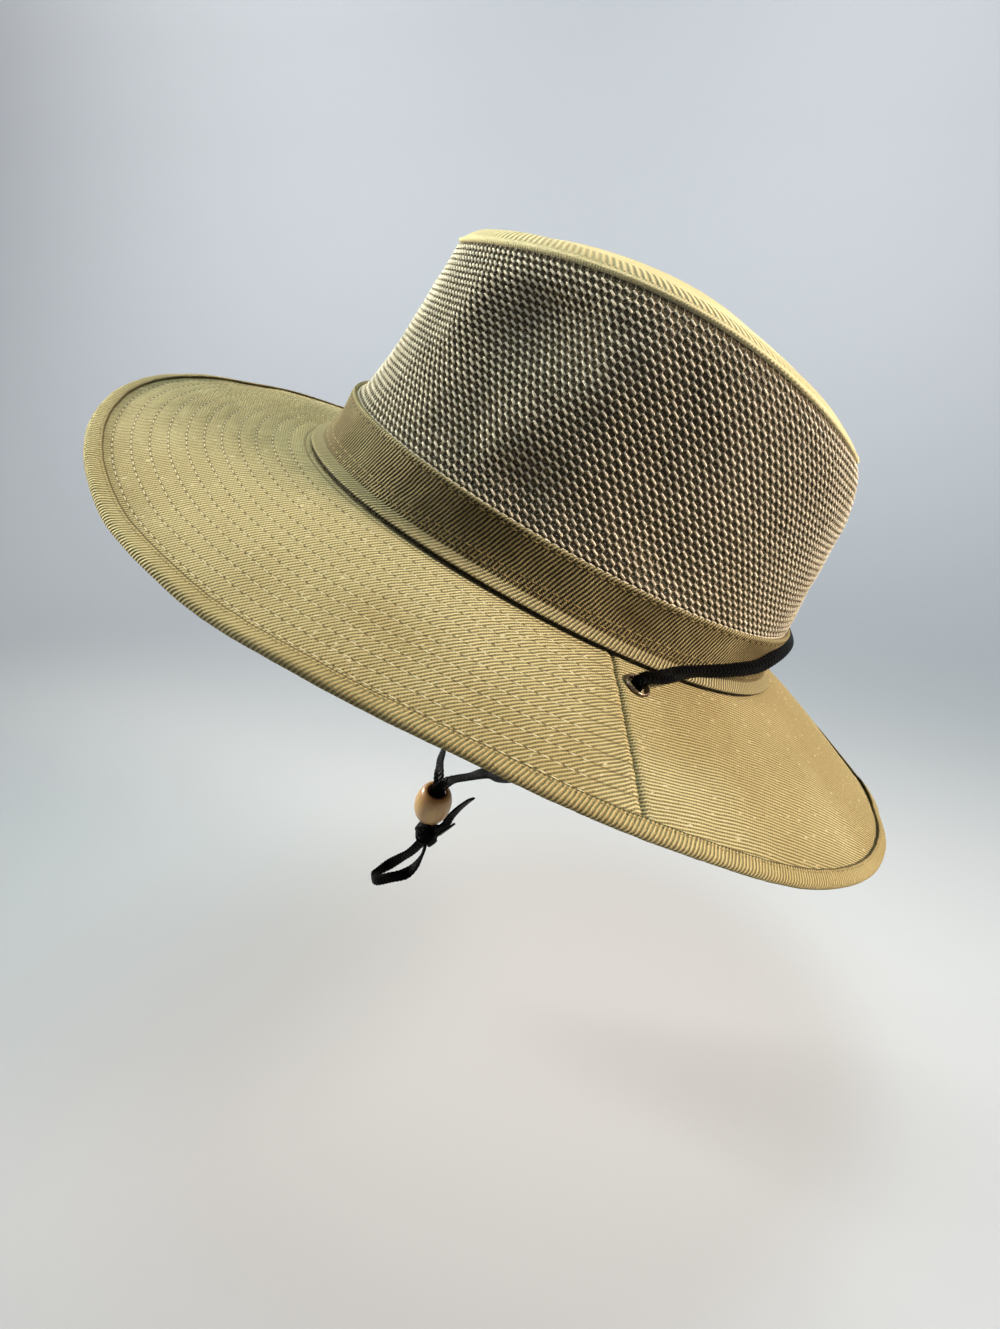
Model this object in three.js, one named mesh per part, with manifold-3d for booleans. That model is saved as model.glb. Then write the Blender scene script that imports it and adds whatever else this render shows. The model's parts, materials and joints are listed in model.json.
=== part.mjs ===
// A safari hat of cotton twill with a net crown, worn tilted back, with its chin cord hanging.
// All sizes are millimetres. The front of the hat is toward -Y, the wearer's left is +X, up is +Z.
// The hat is shaped level, around the middle of its head opening, and then tilted as it is worn.
// Angles round the hat start at the front and grow toward the wearer's left ear and the back.
import * as THREE from 'three';
import { mergeVertices } from 'three/addons/utils/BufferGeometryUtils.js';
import Module from 'manifold-3d';

const wasm = await Module();
wasm.setup();

const DEGREE = Math.PI / 180;

// How far the hat leans back on the head, in degrees.
const WORN_TILT = 28.5;

// Room left between neighbouring pieces, and the number of flat faces round the hat.
const GAP = 0.3;
const FACETS = 60;

// The root of the brim, where the hem of the hat band lies on it.
const HEM = { front: 109.6, side: 92.3, egg: 0.04, shift: 0, rise: -1.1, sideRise: 1.7 };

// The top edge of the hat band, outside.
const BAND_TOP = {
  front: 103.6, side: 86.4, egg: 0.04, shift: 1.4, height: 24.2, rise: -0.3, sideRise: 0.8,
};

// The brim: its width from the hem to the edge, and how steeply it droops, in degrees. The soft
// cloth hangs a little lower on the wearer's left.
const BRIM = { width: 80.4, frontExtra: 1.2, thickness: 1.4, tuck: 6, rows: 6, straight: 0.78 };
const DROOP = {
  mean: 16.2, front: -1.1, ends: 2.9, thirds: -1.2, quarters: -1.9, left: 2.1, leftFront: 3.2,
};

// The seams that join the front and back of the brim, and the opening left in each.
const BRIM_SEAM = { angleAtHem: 108.8, angleAtEdge: 110.4, gap: 0.3 };

// The folded tape round the edge of the brim.
const BINDING = { reach: 6, cloth: 0.6, round: 0.8 };

// The hat band, with its hem spread over the brim like a small skirt.
const BAND = { cloth: 1.7, skirtReach: 4.2, skirtRise: 4.4, skirtEdge: 1.3, wallInset: 5.9 };

// The net wall of the crown: how much of it is tucked behind the hat band, how its rows close up
// toward the seam, and the curves that round it in over the sides and over the front.
const NET = {
  cloth: 1.2, tuck: 0.5, rows: 11, rowSpacing: 1.35, sideCurve: 8, frontCurve: 0.55, frontSpan: 4,
};

// The seam between the net wall and the top of the crown.
const CROWN_SEAM = { front: 88.5, side: 61.7, pinch: 0.22, shift: -1.7 };
const CROWN_HEIGHT = { mean: 100.8, rise: -1.9, sideRise: 9.3, tip: 0.3 };

// Soft dents of the net wall, on both sides. Height runs from the band at 0 to the seam at 1, and
// every dent fades out within a short share of the height next to the band and the seam.
const DENT_FALLOFF = 1.5;
const DENT_FADE = { height: 1 / 6, leftAtBand: 0.15 };
const DENTS = [
  { angle: 64, height: 0.72, halfAngle: 17, halfHeight: 0.32, depth: 8.5 },
  { angle: 44, height: 0.7, halfAngle: 8, halfHeight: 0.36, depth: -2.5 },
  { angle: 60, height: 0.22, halfAngle: 9, halfHeight: 0.22, depth: 2.5 },
  { angle: 77, height: 0.12, halfAngle: 9, halfHeight: 0.18, depth: 2.2 },
  { angle: 97, height: 0.6, halfAngle: 11, halfHeight: 0.32, depth: 1.5 },
  { angle: 108, height: 0.18, halfAngle: 9, halfHeight: 0.22, depth: 2.2 },
];

// The top of the crown, from its middle to its edge: share of the way out, and lift over the seam.
// The groove inside the raised strip shows only on the upper side.
const GROOVE_OUT = 0.86;
const CROWN_TOP = [
  { out: 0, lift: 7.7 },
  { out: 0.33, lift: 7.1 },
  { out: 0.58, lift: 5.9 },
  { out: 0.74, lift: 4.7 },
  { out: GROOVE_OUT, lift: 3.9 },
  { out: 0.91, lift: 4.3 },
  { out: 0.96, lift: 3.1 },
  { out: 1.008, lift: 1.0 },
];
const CROWN_TOP_LEAN = 0.5;
const CROWN_TOP_CLOTH = 1.5;

// The two metal eyelets in the back of the brim, just behind the side seams.
const EYELET = {
  angle: 113, out: 12.3, radius: 5.2, bore: 3.4, metal: 0.5, flange: 0.7, sides: 20,
  rimBevel: 0.6, mouthBevel: 0.4, footBevel: 0.3,
};
const EYELET_HOLE = { radius: 4.25, sides: 16, depth: 8 };

// The chin cord is a flat black braid.
const CORD = { width: 5.5, thickness: 1, chamfer: 0.3 };

// Each line of a route is a point on the middle of the braid, x, y and z, and the way that its
// flat side faces. The route behind the crown is given level, the hanging ones as they hang.
const BACK_ROUTE = [
  [94.9, 46.8, -1.8, 0.75, -0.65, 0],
  [94.9, 46.8, 0.2, 0.75, -0.65, 0],
  [93.4, 48.2, 2.4, 0.55, -0.4, 0.75],
  [88.5, 53, 3.6, 0.2, 0, 1],
  [83.6, 56.6, 4.4, 0.2, 0.1, 1],
  [78.4, 59.8, 5, 0.4, 0.3, 0.85],
  [72, 64.6, 5.8, 0.6, 0.55, 0.5],
  [66.8, 69.2, 6.8, 0.7, 0.7, 0.15],
  [55.3, 82, 10.4, 0.55, 0.83, 0.15],
  [44.4, 91.8, 13.6, 0.44, 0.9, 0.15],
  [36, 97, 17.4, 0.33, 0.93, 0.15],
  [24, 102, 20.2, 0.2, 0.97, 0.15],
  [12, 105.2, 21.6, 0.1, 0.98, 0.15],
  [0, 106.2, 22, 0, 0.98, 0.15],
];
const LEFT_ROUTE = [
  [94.4, 39.3, -25.2, 0.75, -0.57, 0.31],
  [93.9, 37.6, -27.4, 0.8, -0.5, 0.3],
  [88, 27, -43, 0.95, -0.3, 0.2],
  [72, 9, -65, 0.95, -0.2, 0.3],
  [52, -6, -82, 0.92, -0.2, 0.35],
  [34, -16, -92.5, 0.9, -0.2, 0.4],
  [20, -22.8, -98.2, 0.8, -0.2, 0.55],
  [14, -28.5, -102.4, 0.6, -0.3, 0.75],
  [10, -34.4, -106.3, 0.25, -0.4, 0.9],
  [6.9, -41, -109.6, 0.3, -0.45, 0.85],
  [6.2, -46.6, -112.9, 0.8, -0.4, 0.2],
  [5.5, -49.9, -116.9, 0.92, -0.14, -0.37],
  [4.7, -50.5, -118.6, 0.92, -0.14, -0.37],
  [0.7, -53.7, -127.2, 0.92, -0.14, -0.37],
  [-3.3, -56.9, -135.8, 0.92, -0.14, -0.37],
  [-3.6, -57.1, -136.4, 0.92, -0.14, -0.37],
];
const RIGHT_ROUTE = [
  [-94.4, 39.3, -25.2, -0.75, -0.57, 0.31],
  [-93.9, 37.6, -27.4, -0.8, -0.5, 0.3],
  [-88, 25, -42, -0.95, -0.3, 0.2],
  [-74, 2, -62, -0.85, -0.5, 0.2],
  [-54, -22, -79, -0.5, -0.8, 0.2],
  [-34, -39, -91, 0, -0.95, 0.2],
  [-18, -48.5, -99.5, 0.5, -0.85, 0.1],
  [-7, -50.6, -105.4, 0.85, -0.4, 0],
  [-0.6, -50.3, -109.2, 0.95, -0.2, -0.2],
  [2.6, -49.9, -113, 0.94, -0.1, -0.3],
  [4.1, -49.7, -116.3, 0.92, -0.14, -0.37],
  [3.3, -50.3, -118, 0.92, -0.14, -0.37],
  [-0.7, -53.5, -126.6, 0.92, -0.14, -0.37],
  [-4.7, -56.7, -135.2, 0.92, -0.14, -0.37],
  [-5, -56.9, -135.8, 0.92, -0.14, -0.37],
];
const LOOP_ROUTE = [
  [-2.7, -61.4, -151.3, 0.9, 0.3, -0.3],
  [-4.4, -67.2, -158.2, 0.9, 0.3, -0.3],
  [-6, -72.3, -162.5, 0.95, 0.2, -0.2],
  [-8, -79.4, -168.6, 0.95, -0.1, 0],
  [-5.6, -84, -171.6, 0.6, -0.8, 0],
  [0, -85.8, -171.6, 0, -0.95, -0.3],
  [5, -83, -169.8, -0.6, -0.7, -0.3],
  [8, -74.4, -165.6, -0.95, -0.2, 0],
  [7, -67, -163.4, -0.9, 0.3, -0.3],
  [4.8, -62.6, -160.2, -0.5, 0.6, -0.6],
  [2.4, -59.6, -155.6, -0.3, 0.9, 0],
  [0.9, -58.1, -151.5, -0.3, 0.9, 0],
];
const LONG_END_ROUTE = [
  [-6.2, -51.3, -146.3, 0.8, 0.5, -0.3],
  [-7, -50.4, -143.2, 0.8, 0.5, -0.3],
  [-7, -47.9, -138.6, 0.75, 0.55, -0.35],
  [-5, -41.3, -130.9, 0.65, 0.6, -0.45],
  [-3, -35.3, -124.8, 0.5, 0.6, -0.55],
];
const SHORT_END_ROUTE = [
  [1.5, -52.1, -143.9, 0.5, 0.6, -0.6],
  [2, -47.6, -140.2, 0.4, 0.6, -0.65],
  [2, -43.5, -136.8, 0.3, 0.6, -0.7],
];

// The knot under the bead, as a plain lump: its middle and its half sizes.
const KNOT = { x: -1.5, y: -57.6, z: -144.8, halfX: 4.6, halfY: 5.6, halfZ: 6.9, sides: 16 };

// The turned wooden bead that slides on both legs of the cord.
const BEAD = {
  x: 0, y: -53.6, z: -126.9,
  length: 20, radius: 8.8, endRadius: 5.4, bore: 3.85, round: 0.7, sides: 24,
  leanX: 0.4, leanY: 0.32, leanZ: 0.86,
};

// Moves every corner of a shape to the place that a rule gives it.
function reshape(geometry, place) {
  const corners = geometry.attributes.position;
  const corner = new THREE.Vector3();
  for (let i = 0; i < corners.count; i += 1) {
    corner.fromBufferAttribute(corners, i);
    const moved = place(corner, i);
    corners.setXYZ(i, moved.x, moved.y, moved.z);
  }
  geometry.computeVertexNormals();
  return geometry;
}

// A closed ring round the hat. Each corner of its section is a rule that gives one point at each
// angle, and they are listed so that the outer side runs upward.
function ring(corners) {
  const section = [...corners, corners[0]];
  const lathe = new THREE.LatheGeometry(section.map(() => new THREE.Vector2(1, 0)), FACETS);
  return reshape(lathe, (p, i) => {
    const turn = Math.floor(i / section.length) / FACETS;
    return section[i % section.length](360 * DEGREE * turn);
  });
}

function ovalPoint(oval, angle, height) {
  const forward = Math.cos(angle);
  return new THREE.Vector3(
    oval.side * Math.sin(angle) * (1 + oval.egg * forward),
    oval.shift - oval.front * forward,
    height + oval.rise * forward - oval.sideRise * Math.cos(2 * angle),
  );
}

// The level direction straight away from the head at one angle.
function outward(angle) {
  return new THREE.Vector3(Math.sin(angle) / HEM.side, -Math.cos(angle) / HEM.front, 0).normalize();
}

const hemPoint = (angle) => ovalPoint(HEM, angle, 0);
const bandTopPoint = (angle) => ovalPoint(BAND_TOP, angle, BAND_TOP.height);

// A point in the wall of the hat band, out and up from its hem at the foot and its edge at the top.
function bandPoint(angle, out, up) {
  return hemPoint(angle).addScaledVector(outward(angle), out).add(new THREE.Vector3(0, 0, up));
}

function brimWidth(angle) {
  return BRIM.width + BRIM.frontExtra * Math.cos(angle);
}

function brimDroop(angle) {
  const degrees = DROOP.mean + DROOP.front * Math.cos(angle) + DROOP.ends * Math.cos(2 * angle)
    + DROOP.thirds * Math.cos(3 * angle) + DROOP.quarters * Math.cos(4 * angle)
    + DROOP.left * Math.sin(angle) + DROOP.leftFront * Math.sin(2 * angle);
  return degrees * DEGREE;
}

// A point of the brim: how far out from the hem, and how far above the cloth of its upper side.
function brimPoint(angle, out, up) {
  const width = brimWidth(angle);
  const share = Math.max(out, 0) / width;
  const curve = BRIM.straight + (1 - BRIM.straight) * share;
  const fall = Math.sin(brimDroop(angle)) * width * share * curve;
  const reach = out > 0 ? out * Math.cos(brimDroop(angle)) : out;
  const point = hemPoint(angle).addScaledVector(outward(angle), reach);
  point.z += up - GAP - fall;
  return point;
}

// A part of the brim between two side seams, given by the angles of its two ends at the hem and at
// the edge. The space for the binding is left free at the edge.
function brimPanel(startAngles, endAngles) {
  const facets = Math.round(FACETS * Math.abs(endAngles.hem - startAngles.hem) / 360);
  const box = new THREE.BoxGeometry(1, 1, 1, BRIM.rows, facets, 1);
  return reshape(box, (p) => {
    const share = p.x + 0.5;
    const start = startAngles.hem + (startAngles.edge - startAngles.hem) * share;
    const end = endAngles.hem + (endAngles.edge - endAngles.hem) * share;
    const angle = (start + (end - start) * (p.y + 0.5)) * DEGREE;
    const far = brimWidth(angle) - BINDING.cloth - GAP;
    const out = -BRIM.tuck + (far + BRIM.tuck) * share;
    return brimPoint(angle, out, (p.z - 0.5) * BRIM.thickness);
  });
}

// Half of the opening at a side seam, as an angle at the hem and at the edge.
const SEAM_OPENING = {
  hem: BRIM_SEAM.gap / 2 / HEM.side / DEGREE,
  edge: BRIM_SEAM.gap / 2 / (HEM.side + BRIM.width) / DEGREE,
};

function seamAngles(side, way) {
  return {
    hem: side * BRIM_SEAM.angleAtHem + way * SEAM_OPENING.hem,
    edge: side * BRIM_SEAM.angleAtEdge + way * SEAM_OPENING.edge,
  };
}

function brimFront() {
  return brimPanel(seamAngles(-1, 1), seamAngles(1, -1));
}

// The way that the brim faces at one of its points.
function brimNormal(angle, out) {
  const step = 0.5;
  const here = brimPoint(angle, out, 0);
  const farther = brimPoint(angle, out + step, 0).sub(here);
  const along = brimPoint(angle + step * DEGREE, out, 0).sub(here);
  return farther.cross(along).normalize();
}

// Turns and moves a piece from its own upright axis onto the brim where an eyelet sits.
function seatOnBrim(object, side) {
  const angle = side * EYELET.angle * DEGREE;
  object.position.copy(brimPoint(angle, EYELET.out, 0));
  const normal = brimNormal(angle, EYELET.out);
  object.quaternion.setFromUnitVectors(new THREE.Vector3(0, 1, 0), normal);
  object.updateMatrix();
  return object;
}

function toManifold(geometry) {
  const bare = geometry.clone();
  bare.deleteAttribute('normal');
  bare.deleteAttribute('uv');
  const merged = mergeVertices(bare, 1e-4);
  return new wasm.Manifold(new wasm.Mesh({
    numProp: 3,
    vertProperties: new Float32Array(merged.attributes.position.array),
    triVerts: new Uint32Array(merged.index.array),
  }));
}

function fromManifold(solid) {
  const mesh = solid.getMesh();
  const geometry = new THREE.BufferGeometry();
  geometry.setAttribute('position', new THREE.BufferAttribute(new Float32Array(mesh.vertProperties), 3));
  geometry.setIndex(new THREE.BufferAttribute(new Uint32Array(mesh.triVerts), 1));
  geometry.computeVertexNormals();
  return geometry;
}

// The back of the brim, with a punched hole for each eyelet.
function brimBack() {
  const left = seamAngles(1, 1);
  const right = seamAngles(-1, -1);
  const panel = brimPanel(left, { hem: right.hem + 360, edge: right.edge + 360 });
  let solid = toManifold(panel);
  for (const side of [-1, 1]) {
    const { radius, sides, depth } = EYELET_HOLE;
    const punch = new THREE.CylinderGeometry(radius, radius, depth, sides);
    const seat = seatOnBrim(new THREE.Object3D(), side);
    solid = solid.subtract(toManifold(punch.applyMatrix4(seat.matrix)));
  }
  return fromManifold(solid);
}

// The binding is a folded tape: a leg on the brim, a rounded edge, and a leg under it.
function brimBinding() {
  const top = GAP + BINDING.cloth;
  const foot = -BRIM.thickness - top;
  const outline = [
    [-BINDING.reach, foot],
    [-BINDING.round, foot],
    [0, foot + BINDING.round],
    [0, top - BINDING.round],
    [-BINDING.round, top],
    [-BINDING.reach, top],
    [-BINDING.reach, GAP],
    [-BINDING.cloth, GAP],
    [-BINDING.cloth, -BRIM.thickness - GAP],
    [-BINDING.reach, -BRIM.thickness - GAP],
  ];
  return ring(outline.map(([out, up]) => (
    (angle) => brimPoint(angle, brimWidth(angle) + out, up)
  )));
}

// The band is one cloth from its hem on the brim, up the skirt and the wall, to its top edge.
function hatBand() {
  const foot = [
    [-BAND.wallInset, GAP],
    [-BAND.skirtReach, GAP],
    [0, GAP / 3],
    [0, BAND.skirtEdge],
    [-BAND.skirtReach, BAND.skirtRise],
  ];
  return ring([
    ...foot.map(([out, up]) => (angle) => bandPoint(angle, out, up)),
    bandTopPoint,
    (angle) => bandTopPoint(angle).addScaledVector(outward(angle), -BAND.cloth),
  ]);
}

function crownSeamPoint(angle) {
  const forward = Math.cos(angle);
  return new THREE.Vector3(
    CROWN_SEAM.side * Math.sin(angle) * (1 - CROWN_SEAM.pinch * forward),
    CROWN_SEAM.shift - CROWN_SEAM.front * forward,
    crownHeight(forward),
  );
}

// The height of the crown seam, by how far forward it is: 1 at the front and -1 at the back.
function crownHeight(forward) {
  const second = 2 * forward * forward - 1;
  const third = forward * (4 * forward * forward - 3);
  return CROWN_HEIGHT.mean + CROWN_HEIGHT.rise * forward - CROWN_HEIGHT.sideRise * second
    + CROWN_HEIGHT.tip * third;
}

// How far in a dent presses the net wall at one place.
function dentDepth(angle, height) {
  const degrees = Math.abs(Math.atan2(Math.sin(angle), Math.cos(angle))) / DEGREE;
  let depth = 0;
  for (const dent of DENTS) {
    const across = (degrees - dent.angle) / dent.halfAngle;
    const upward = (height - dent.height) / dent.halfHeight;
    depth += dent.depth * Math.exp(-DENT_FALLOFF * (across * across + upward * upward));
  }
  const atSeam = Math.min(1, (1 - height) / DENT_FADE.height);
  const atBand = Math.min(1, DENT_FADE.leftAtBand + height / DENT_FADE.height);
  return depth * atSeam * atBand;
}

// A point of the net wall: its height runs from 0 at the band to 1 at the seam, and is below 0
// where the net is tucked behind the band.
function netPoint(angle, height, inset) {
  const away = outward(angle);
  const foot = bandTopPoint(angle).addScaledVector(away, -BAND.cloth - GAP);
  if (height < 0) {
    const root = bandPoint(angle, -BAND.wallInset - GAP, GAP);
    return foot.lerp(root, -height).addScaledVector(away, -inset);
  }
  const seam = crownSeamPoint(angle);
  const frontShare = Math.pow((1 + Math.cos(angle)) / 2, NET.frontSpan);
  const overSide = (height + Math.pow(height, NET.sideCurve)) / 2;
  const overFront = Math.pow(height, NET.frontCurve);
  const share = overSide + (overFront - overSide) * frontShare;
  const point = foot.clone().lerp(seam, share);
  point.z = foot.z + (seam.z - foot.z) * height;
  return point.addScaledVector(away, -inset - dentDepth(angle, height));
}

function crownNet() {
  const rows = [-NET.tuck];
  for (let i = 0; i <= NET.rows; i += 1) {
    rows.push(1 - Math.pow(1 - i / NET.rows, NET.rowSpacing));
  }
  const outside = rows.map((height) => (angle) => netPoint(angle, height, 0));
  const inside = rows.map((height) => (angle) => netPoint(angle, height, NET.cloth));
  return ring([...outside, ...inside.reverse()]);
}

// The domed top of the crown, with a raised strip inside its edge.
function crownTop() {
  const upper = CROWN_TOP.map(({ out, lift }) => new THREE.Vector2(out, lift));
  const under = CROWN_TOP.filter(({ out }) => out !== GROOVE_OUT).map(({ out, lift }) => (
    new THREE.Vector2(out, Math.max(GAP, lift - CROWN_TOP_CLOTH))
  ));
  const profile = [...under, ...upper.reverse()];
  const lathe = new THREE.LatheGeometry(profile, FACETS).rotateX(90 * DEGREE);
  const middle = new THREE.Vector3(0, CROWN_SEAM.shift, 0);
  return reshape(lathe, (p) => {
    const point = middle.clone().lerp(crownSeamPoint(Math.atan2(p.x, -p.y)), Math.hypot(p.x, p.y));
    const forward = (CROWN_SEAM.shift - point.y) / CROWN_SEAM.front;
    const lean = Math.max(0, p.z - 1) * CROWN_TOP_LEAN * forward;
    point.z = crownHeight(forward) + p.z + lean;
    return point;
  });
}

// A pressed metal eyelet: a flange on the brim, a barrel through it, and a flange under it.
function eyelet() {
  const under = -BRIM.thickness - GAP;
  const outline = [
    [EYELET.bore, under - EYELET.flange],
    [EYELET.radius - EYELET.footBevel, under - EYELET.flange],
    [EYELET.radius, under],
    [EYELET.bore + EYELET.metal, under],
    [EYELET.bore + EYELET.metal, GAP],
    [EYELET.radius, GAP],
    [EYELET.radius - EYELET.rimBevel, GAP + EYELET.flange],
    [EYELET.bore + EYELET.mouthBevel, GAP + EYELET.flange],
    [EYELET.bore, GAP],
    [EYELET.bore, under - EYELET.flange],
  ];
  return new THREE.LatheGeometry(outline.map(([r, y]) => new THREE.Vector2(r, y)), EYELET.sides);
}

// A stretch of the flat braid along a route.
function braid(route, steps) {
  const middle = new THREE.CatmullRomCurve3(route.map((p) => new THREE.Vector3(p[0], p[1], p[2])));
  const facing = new THREE.CatmullRomCurve3(route.map((p) => new THREE.Vector3(p[3], p[4], p[5])));
  const x = CORD.width / 2;
  const y = CORD.thickness / 2;
  const corner = CORD.chamfer;
  const section = new THREE.Shape([
    new THREE.Vector2(x, -y + corner),
    new THREE.Vector2(x, y - corner),
    new THREE.Vector2(x - corner, y),
    new THREE.Vector2(corner - x, y),
    new THREE.Vector2(-x, y - corner),
    new THREE.Vector2(-x, -y + corner),
    new THREE.Vector2(corner - x, -y),
    new THREE.Vector2(x - corner, -y),
  ]);
  const strip = new THREE.ExtrudeGeometry(section, { depth: 1, steps, bevelEnabled: false });
  return reshape(strip, (p) => {
    const t = middle.getUtoTmapping(p.z);
    const ahead = middle.getTangent(t);
    const across = facing.getPoint(t).cross(ahead).normalize();
    const face = ahead.clone().cross(across);
    return middle.getPoint(t).addScaledVector(across, p.x).addScaledVector(face, p.y);
  });
}

// The same route on the other side of the hat.
function mirrored(route) {
  return route.map(([x, y, z, faceX, faceY, faceZ]) => [-x, y, z, -faceX, faceY, faceZ]);
}

// The stretch behind the crown, from one eyelet to the other.
function backBraid() {
  return braid([...BACK_ROUTE, ...mirrored(BACK_ROUTE.slice(0, -1)).reverse()], 34);
}

function cordKnot() {
  const ball = new THREE.SphereGeometry(1, KNOT.sides, KNOT.sides / 2);
  return ball.scale(KNOT.halfX, KNOT.halfY, KNOT.halfZ);
}

function cordBead() {
  const half = BEAD.length / 2;
  const barrel = (share) => {
    const narrow = (BEAD.radius - BEAD.endRadius - BEAD.round) * share * share;
    return new THREE.Vector2(BEAD.radius - narrow, half * share);
  };
  const side = [-0.93, -0.7, -0.4, 0, 0.4, 0.7, 0.93].map(barrel);
  const profile = [
    new THREE.Vector2(BEAD.bore, -half),
    new THREE.Vector2(BEAD.endRadius, -half),
    ...side,
    new THREE.Vector2(BEAD.endRadius, half),
    new THREE.Vector2(BEAD.bore, half),
    new THREE.Vector2(BEAD.bore, -half),
  ];
  return new THREE.LatheGeometry(profile, BEAD.sides);
}

// The colour and finish of each material.
const LOOKS = {
  brimCloth: { color: 0xb9a877, roughness: 0.9, metalness: 0 },
  tapeCloth: { color: 0xab9a64, roughness: 0.9, metalness: 0 },
  bandCloth: { color: 0xa58f5e, roughness: 0.9, metalness: 0 },
  netCloth: { color: 0x9a8666, roughness: 0.85, metalness: 0 },
  topCloth: { color: 0xc9b882, roughness: 0.9, metalness: 0 },
  cordBraid: { color: 0x0d0c0c, roughness: 0.7, metalness: 0 },
  beadWood: { color: 0xc79a5c, roughness: 0.4, metalness: 0 },
  eyeletMetal: { color: 0x6f5640, roughness: 0.35, metalness: 1 },
};

function piece(name, geometry, look) {
  const mesh = new THREE.Mesh(geometry, new THREE.MeshStandardMaterial(LOOKS[look]));
  mesh.name = name;
  return mesh;
}

const hat = new THREE.Group();
hat.name = 'hat';
hat.rotation.x = -WORN_TILT * DEGREE;
hat.add(piece('brim_front', brimFront(), 'brimCloth'));
hat.add(piece('brim_back', brimBack(), 'brimCloth'));
hat.add(piece('brim_binding', brimBinding(), 'tapeCloth'));
hat.add(piece('hat_band', hatBand(), 'bandCloth'));
hat.add(piece('crown_net', crownNet(), 'netCloth'));
hat.add(piece('crown_top', crownTop(), 'topCloth'));
hat.add(seatOnBrim(piece('eyelet_left', eyelet(), 'eyeletMetal'), 1));
hat.add(seatOnBrim(piece('eyelet_right', eyelet(), 'eyeletMetal'), -1));
hat.add(piece('chin_cord_back', backBraid(), 'cordBraid'));

const hanging = new THREE.Group();
hanging.name = 'hanging';
hanging.add(piece('chin_cord_left', braid(LEFT_ROUTE, 20), 'cordBraid'));
hanging.add(piece('chin_cord_right', braid(RIGHT_ROUTE, 20), 'cordBraid'));
hanging.add(piece('cord_loop', braid(LOOP_ROUTE, 12), 'cordBraid'));
hanging.add(piece('cord_end_long', braid(LONG_END_ROUTE, 4), 'cordBraid'));
hanging.add(piece('cord_end_short', braid(SHORT_END_ROUTE, 2), 'cordBraid'));

const knot = piece('cord_knot', cordKnot(), 'cordBraid');
knot.position.set(KNOT.x, KNOT.y, KNOT.z);
hanging.add(knot);

const bead = piece('cord_bead', cordBead(), 'beadWood');
bead.position.set(BEAD.x, BEAD.y, BEAD.z);
bead.quaternion.setFromUnitVectors(
  new THREE.Vector3(0, 1, 0),
  new THREE.Vector3(BEAD.leanX, BEAD.leanY, BEAD.leanZ).normalize(),
);
hanging.add(bead);

const part = new THREE.Group();
part.name = 'safari_hat';
part.add(hat, hanging);

export default part;
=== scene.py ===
"""A safari hat of cotton twill with a net crown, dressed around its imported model."""

import json
import math

import bmesh
import bpy
from mathutils import Matrix, Vector, noise

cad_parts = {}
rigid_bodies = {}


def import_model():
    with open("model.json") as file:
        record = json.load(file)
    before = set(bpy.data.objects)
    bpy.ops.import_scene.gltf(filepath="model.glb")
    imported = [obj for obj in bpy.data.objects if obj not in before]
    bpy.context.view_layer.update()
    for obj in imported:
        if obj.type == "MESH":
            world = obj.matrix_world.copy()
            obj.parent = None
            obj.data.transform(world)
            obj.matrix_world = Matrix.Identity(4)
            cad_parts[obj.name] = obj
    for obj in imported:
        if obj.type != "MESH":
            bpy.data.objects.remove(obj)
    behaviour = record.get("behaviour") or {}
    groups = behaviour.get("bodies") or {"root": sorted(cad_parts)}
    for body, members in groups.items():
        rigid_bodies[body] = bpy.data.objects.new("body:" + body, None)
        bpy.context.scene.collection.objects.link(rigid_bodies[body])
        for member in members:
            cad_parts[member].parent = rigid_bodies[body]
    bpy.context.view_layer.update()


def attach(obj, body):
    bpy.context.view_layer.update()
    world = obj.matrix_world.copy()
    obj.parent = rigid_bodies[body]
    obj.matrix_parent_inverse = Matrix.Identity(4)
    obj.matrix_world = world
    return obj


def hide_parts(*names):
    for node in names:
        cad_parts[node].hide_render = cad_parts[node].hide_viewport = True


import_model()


# The view of the photograph: a camera at the hat's left, a little behind, looking down on a hat
# that leans back. Places are metres in the frame of the part: front -Y, the hat's left +X, up +Z.

VIEW_PLACE = (0.40503, 0.04075, 0.09838)
VIEW_AZIMUTH = math.radians(8.65)
VIEW_DOWNWARD = math.radians(20.36)
VIEW_SENSOR = 36.0
VIEW_LENS = 26.18
VIEW_NEAREST = 0.01

camera = bpy.data.objects.new("camera", bpy.data.cameras.new("camera"))
bpy.context.scene.collection.objects.link(camera)
camera.location = VIEW_PLACE
camera.rotation_euler = (math.radians(90) - VIEW_DOWNWARD, 0, math.radians(90) + VIEW_AZIMUTH)
camera.data.sensor_fit = "VERTICAL"
camera.data.sensor_height = VIEW_SENSOR
camera.data.lens = VIEW_LENS
camera.data.clip_start = VIEW_NEAREST
bpy.context.scene.camera = camera


# The chin cord: a limp, flat, black braid of satin thread. One length runs behind the crown from
# eyelet to eyelet; from each eyelet a leg hangs through the bead, and both legs end in one knot,
# with a small loop and the two cut ends left over.

CORD_WIDTH = 0.0055
CORD_THICKNESS = 0.0013
BRAID_PITCH = 0.0021
BRAID_STEP = BRAID_PITCH / 5
BRAID_SIDES = 20
BRAID_BULGE = 0.05
BRAID_EDGE_POWER = 0.55
BRAID_FACE_POWER = 0.8
BRAID_SLANT = 1.3
BRAID_FIBRES = 6
BRAID_BLACK = (0.0004, 0.0004, 0.0004)
# A less black tone: painted sheen on the strands' crests, and the worn patches.
BRAID_WEAR_AND_SHEEN = (0.0018, 0.0016, 0.0014)
WORN_TILT = math.radians(28.5)
TILTED = Matrix.Rotation(-WORN_TILT, 4, "X")

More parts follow.
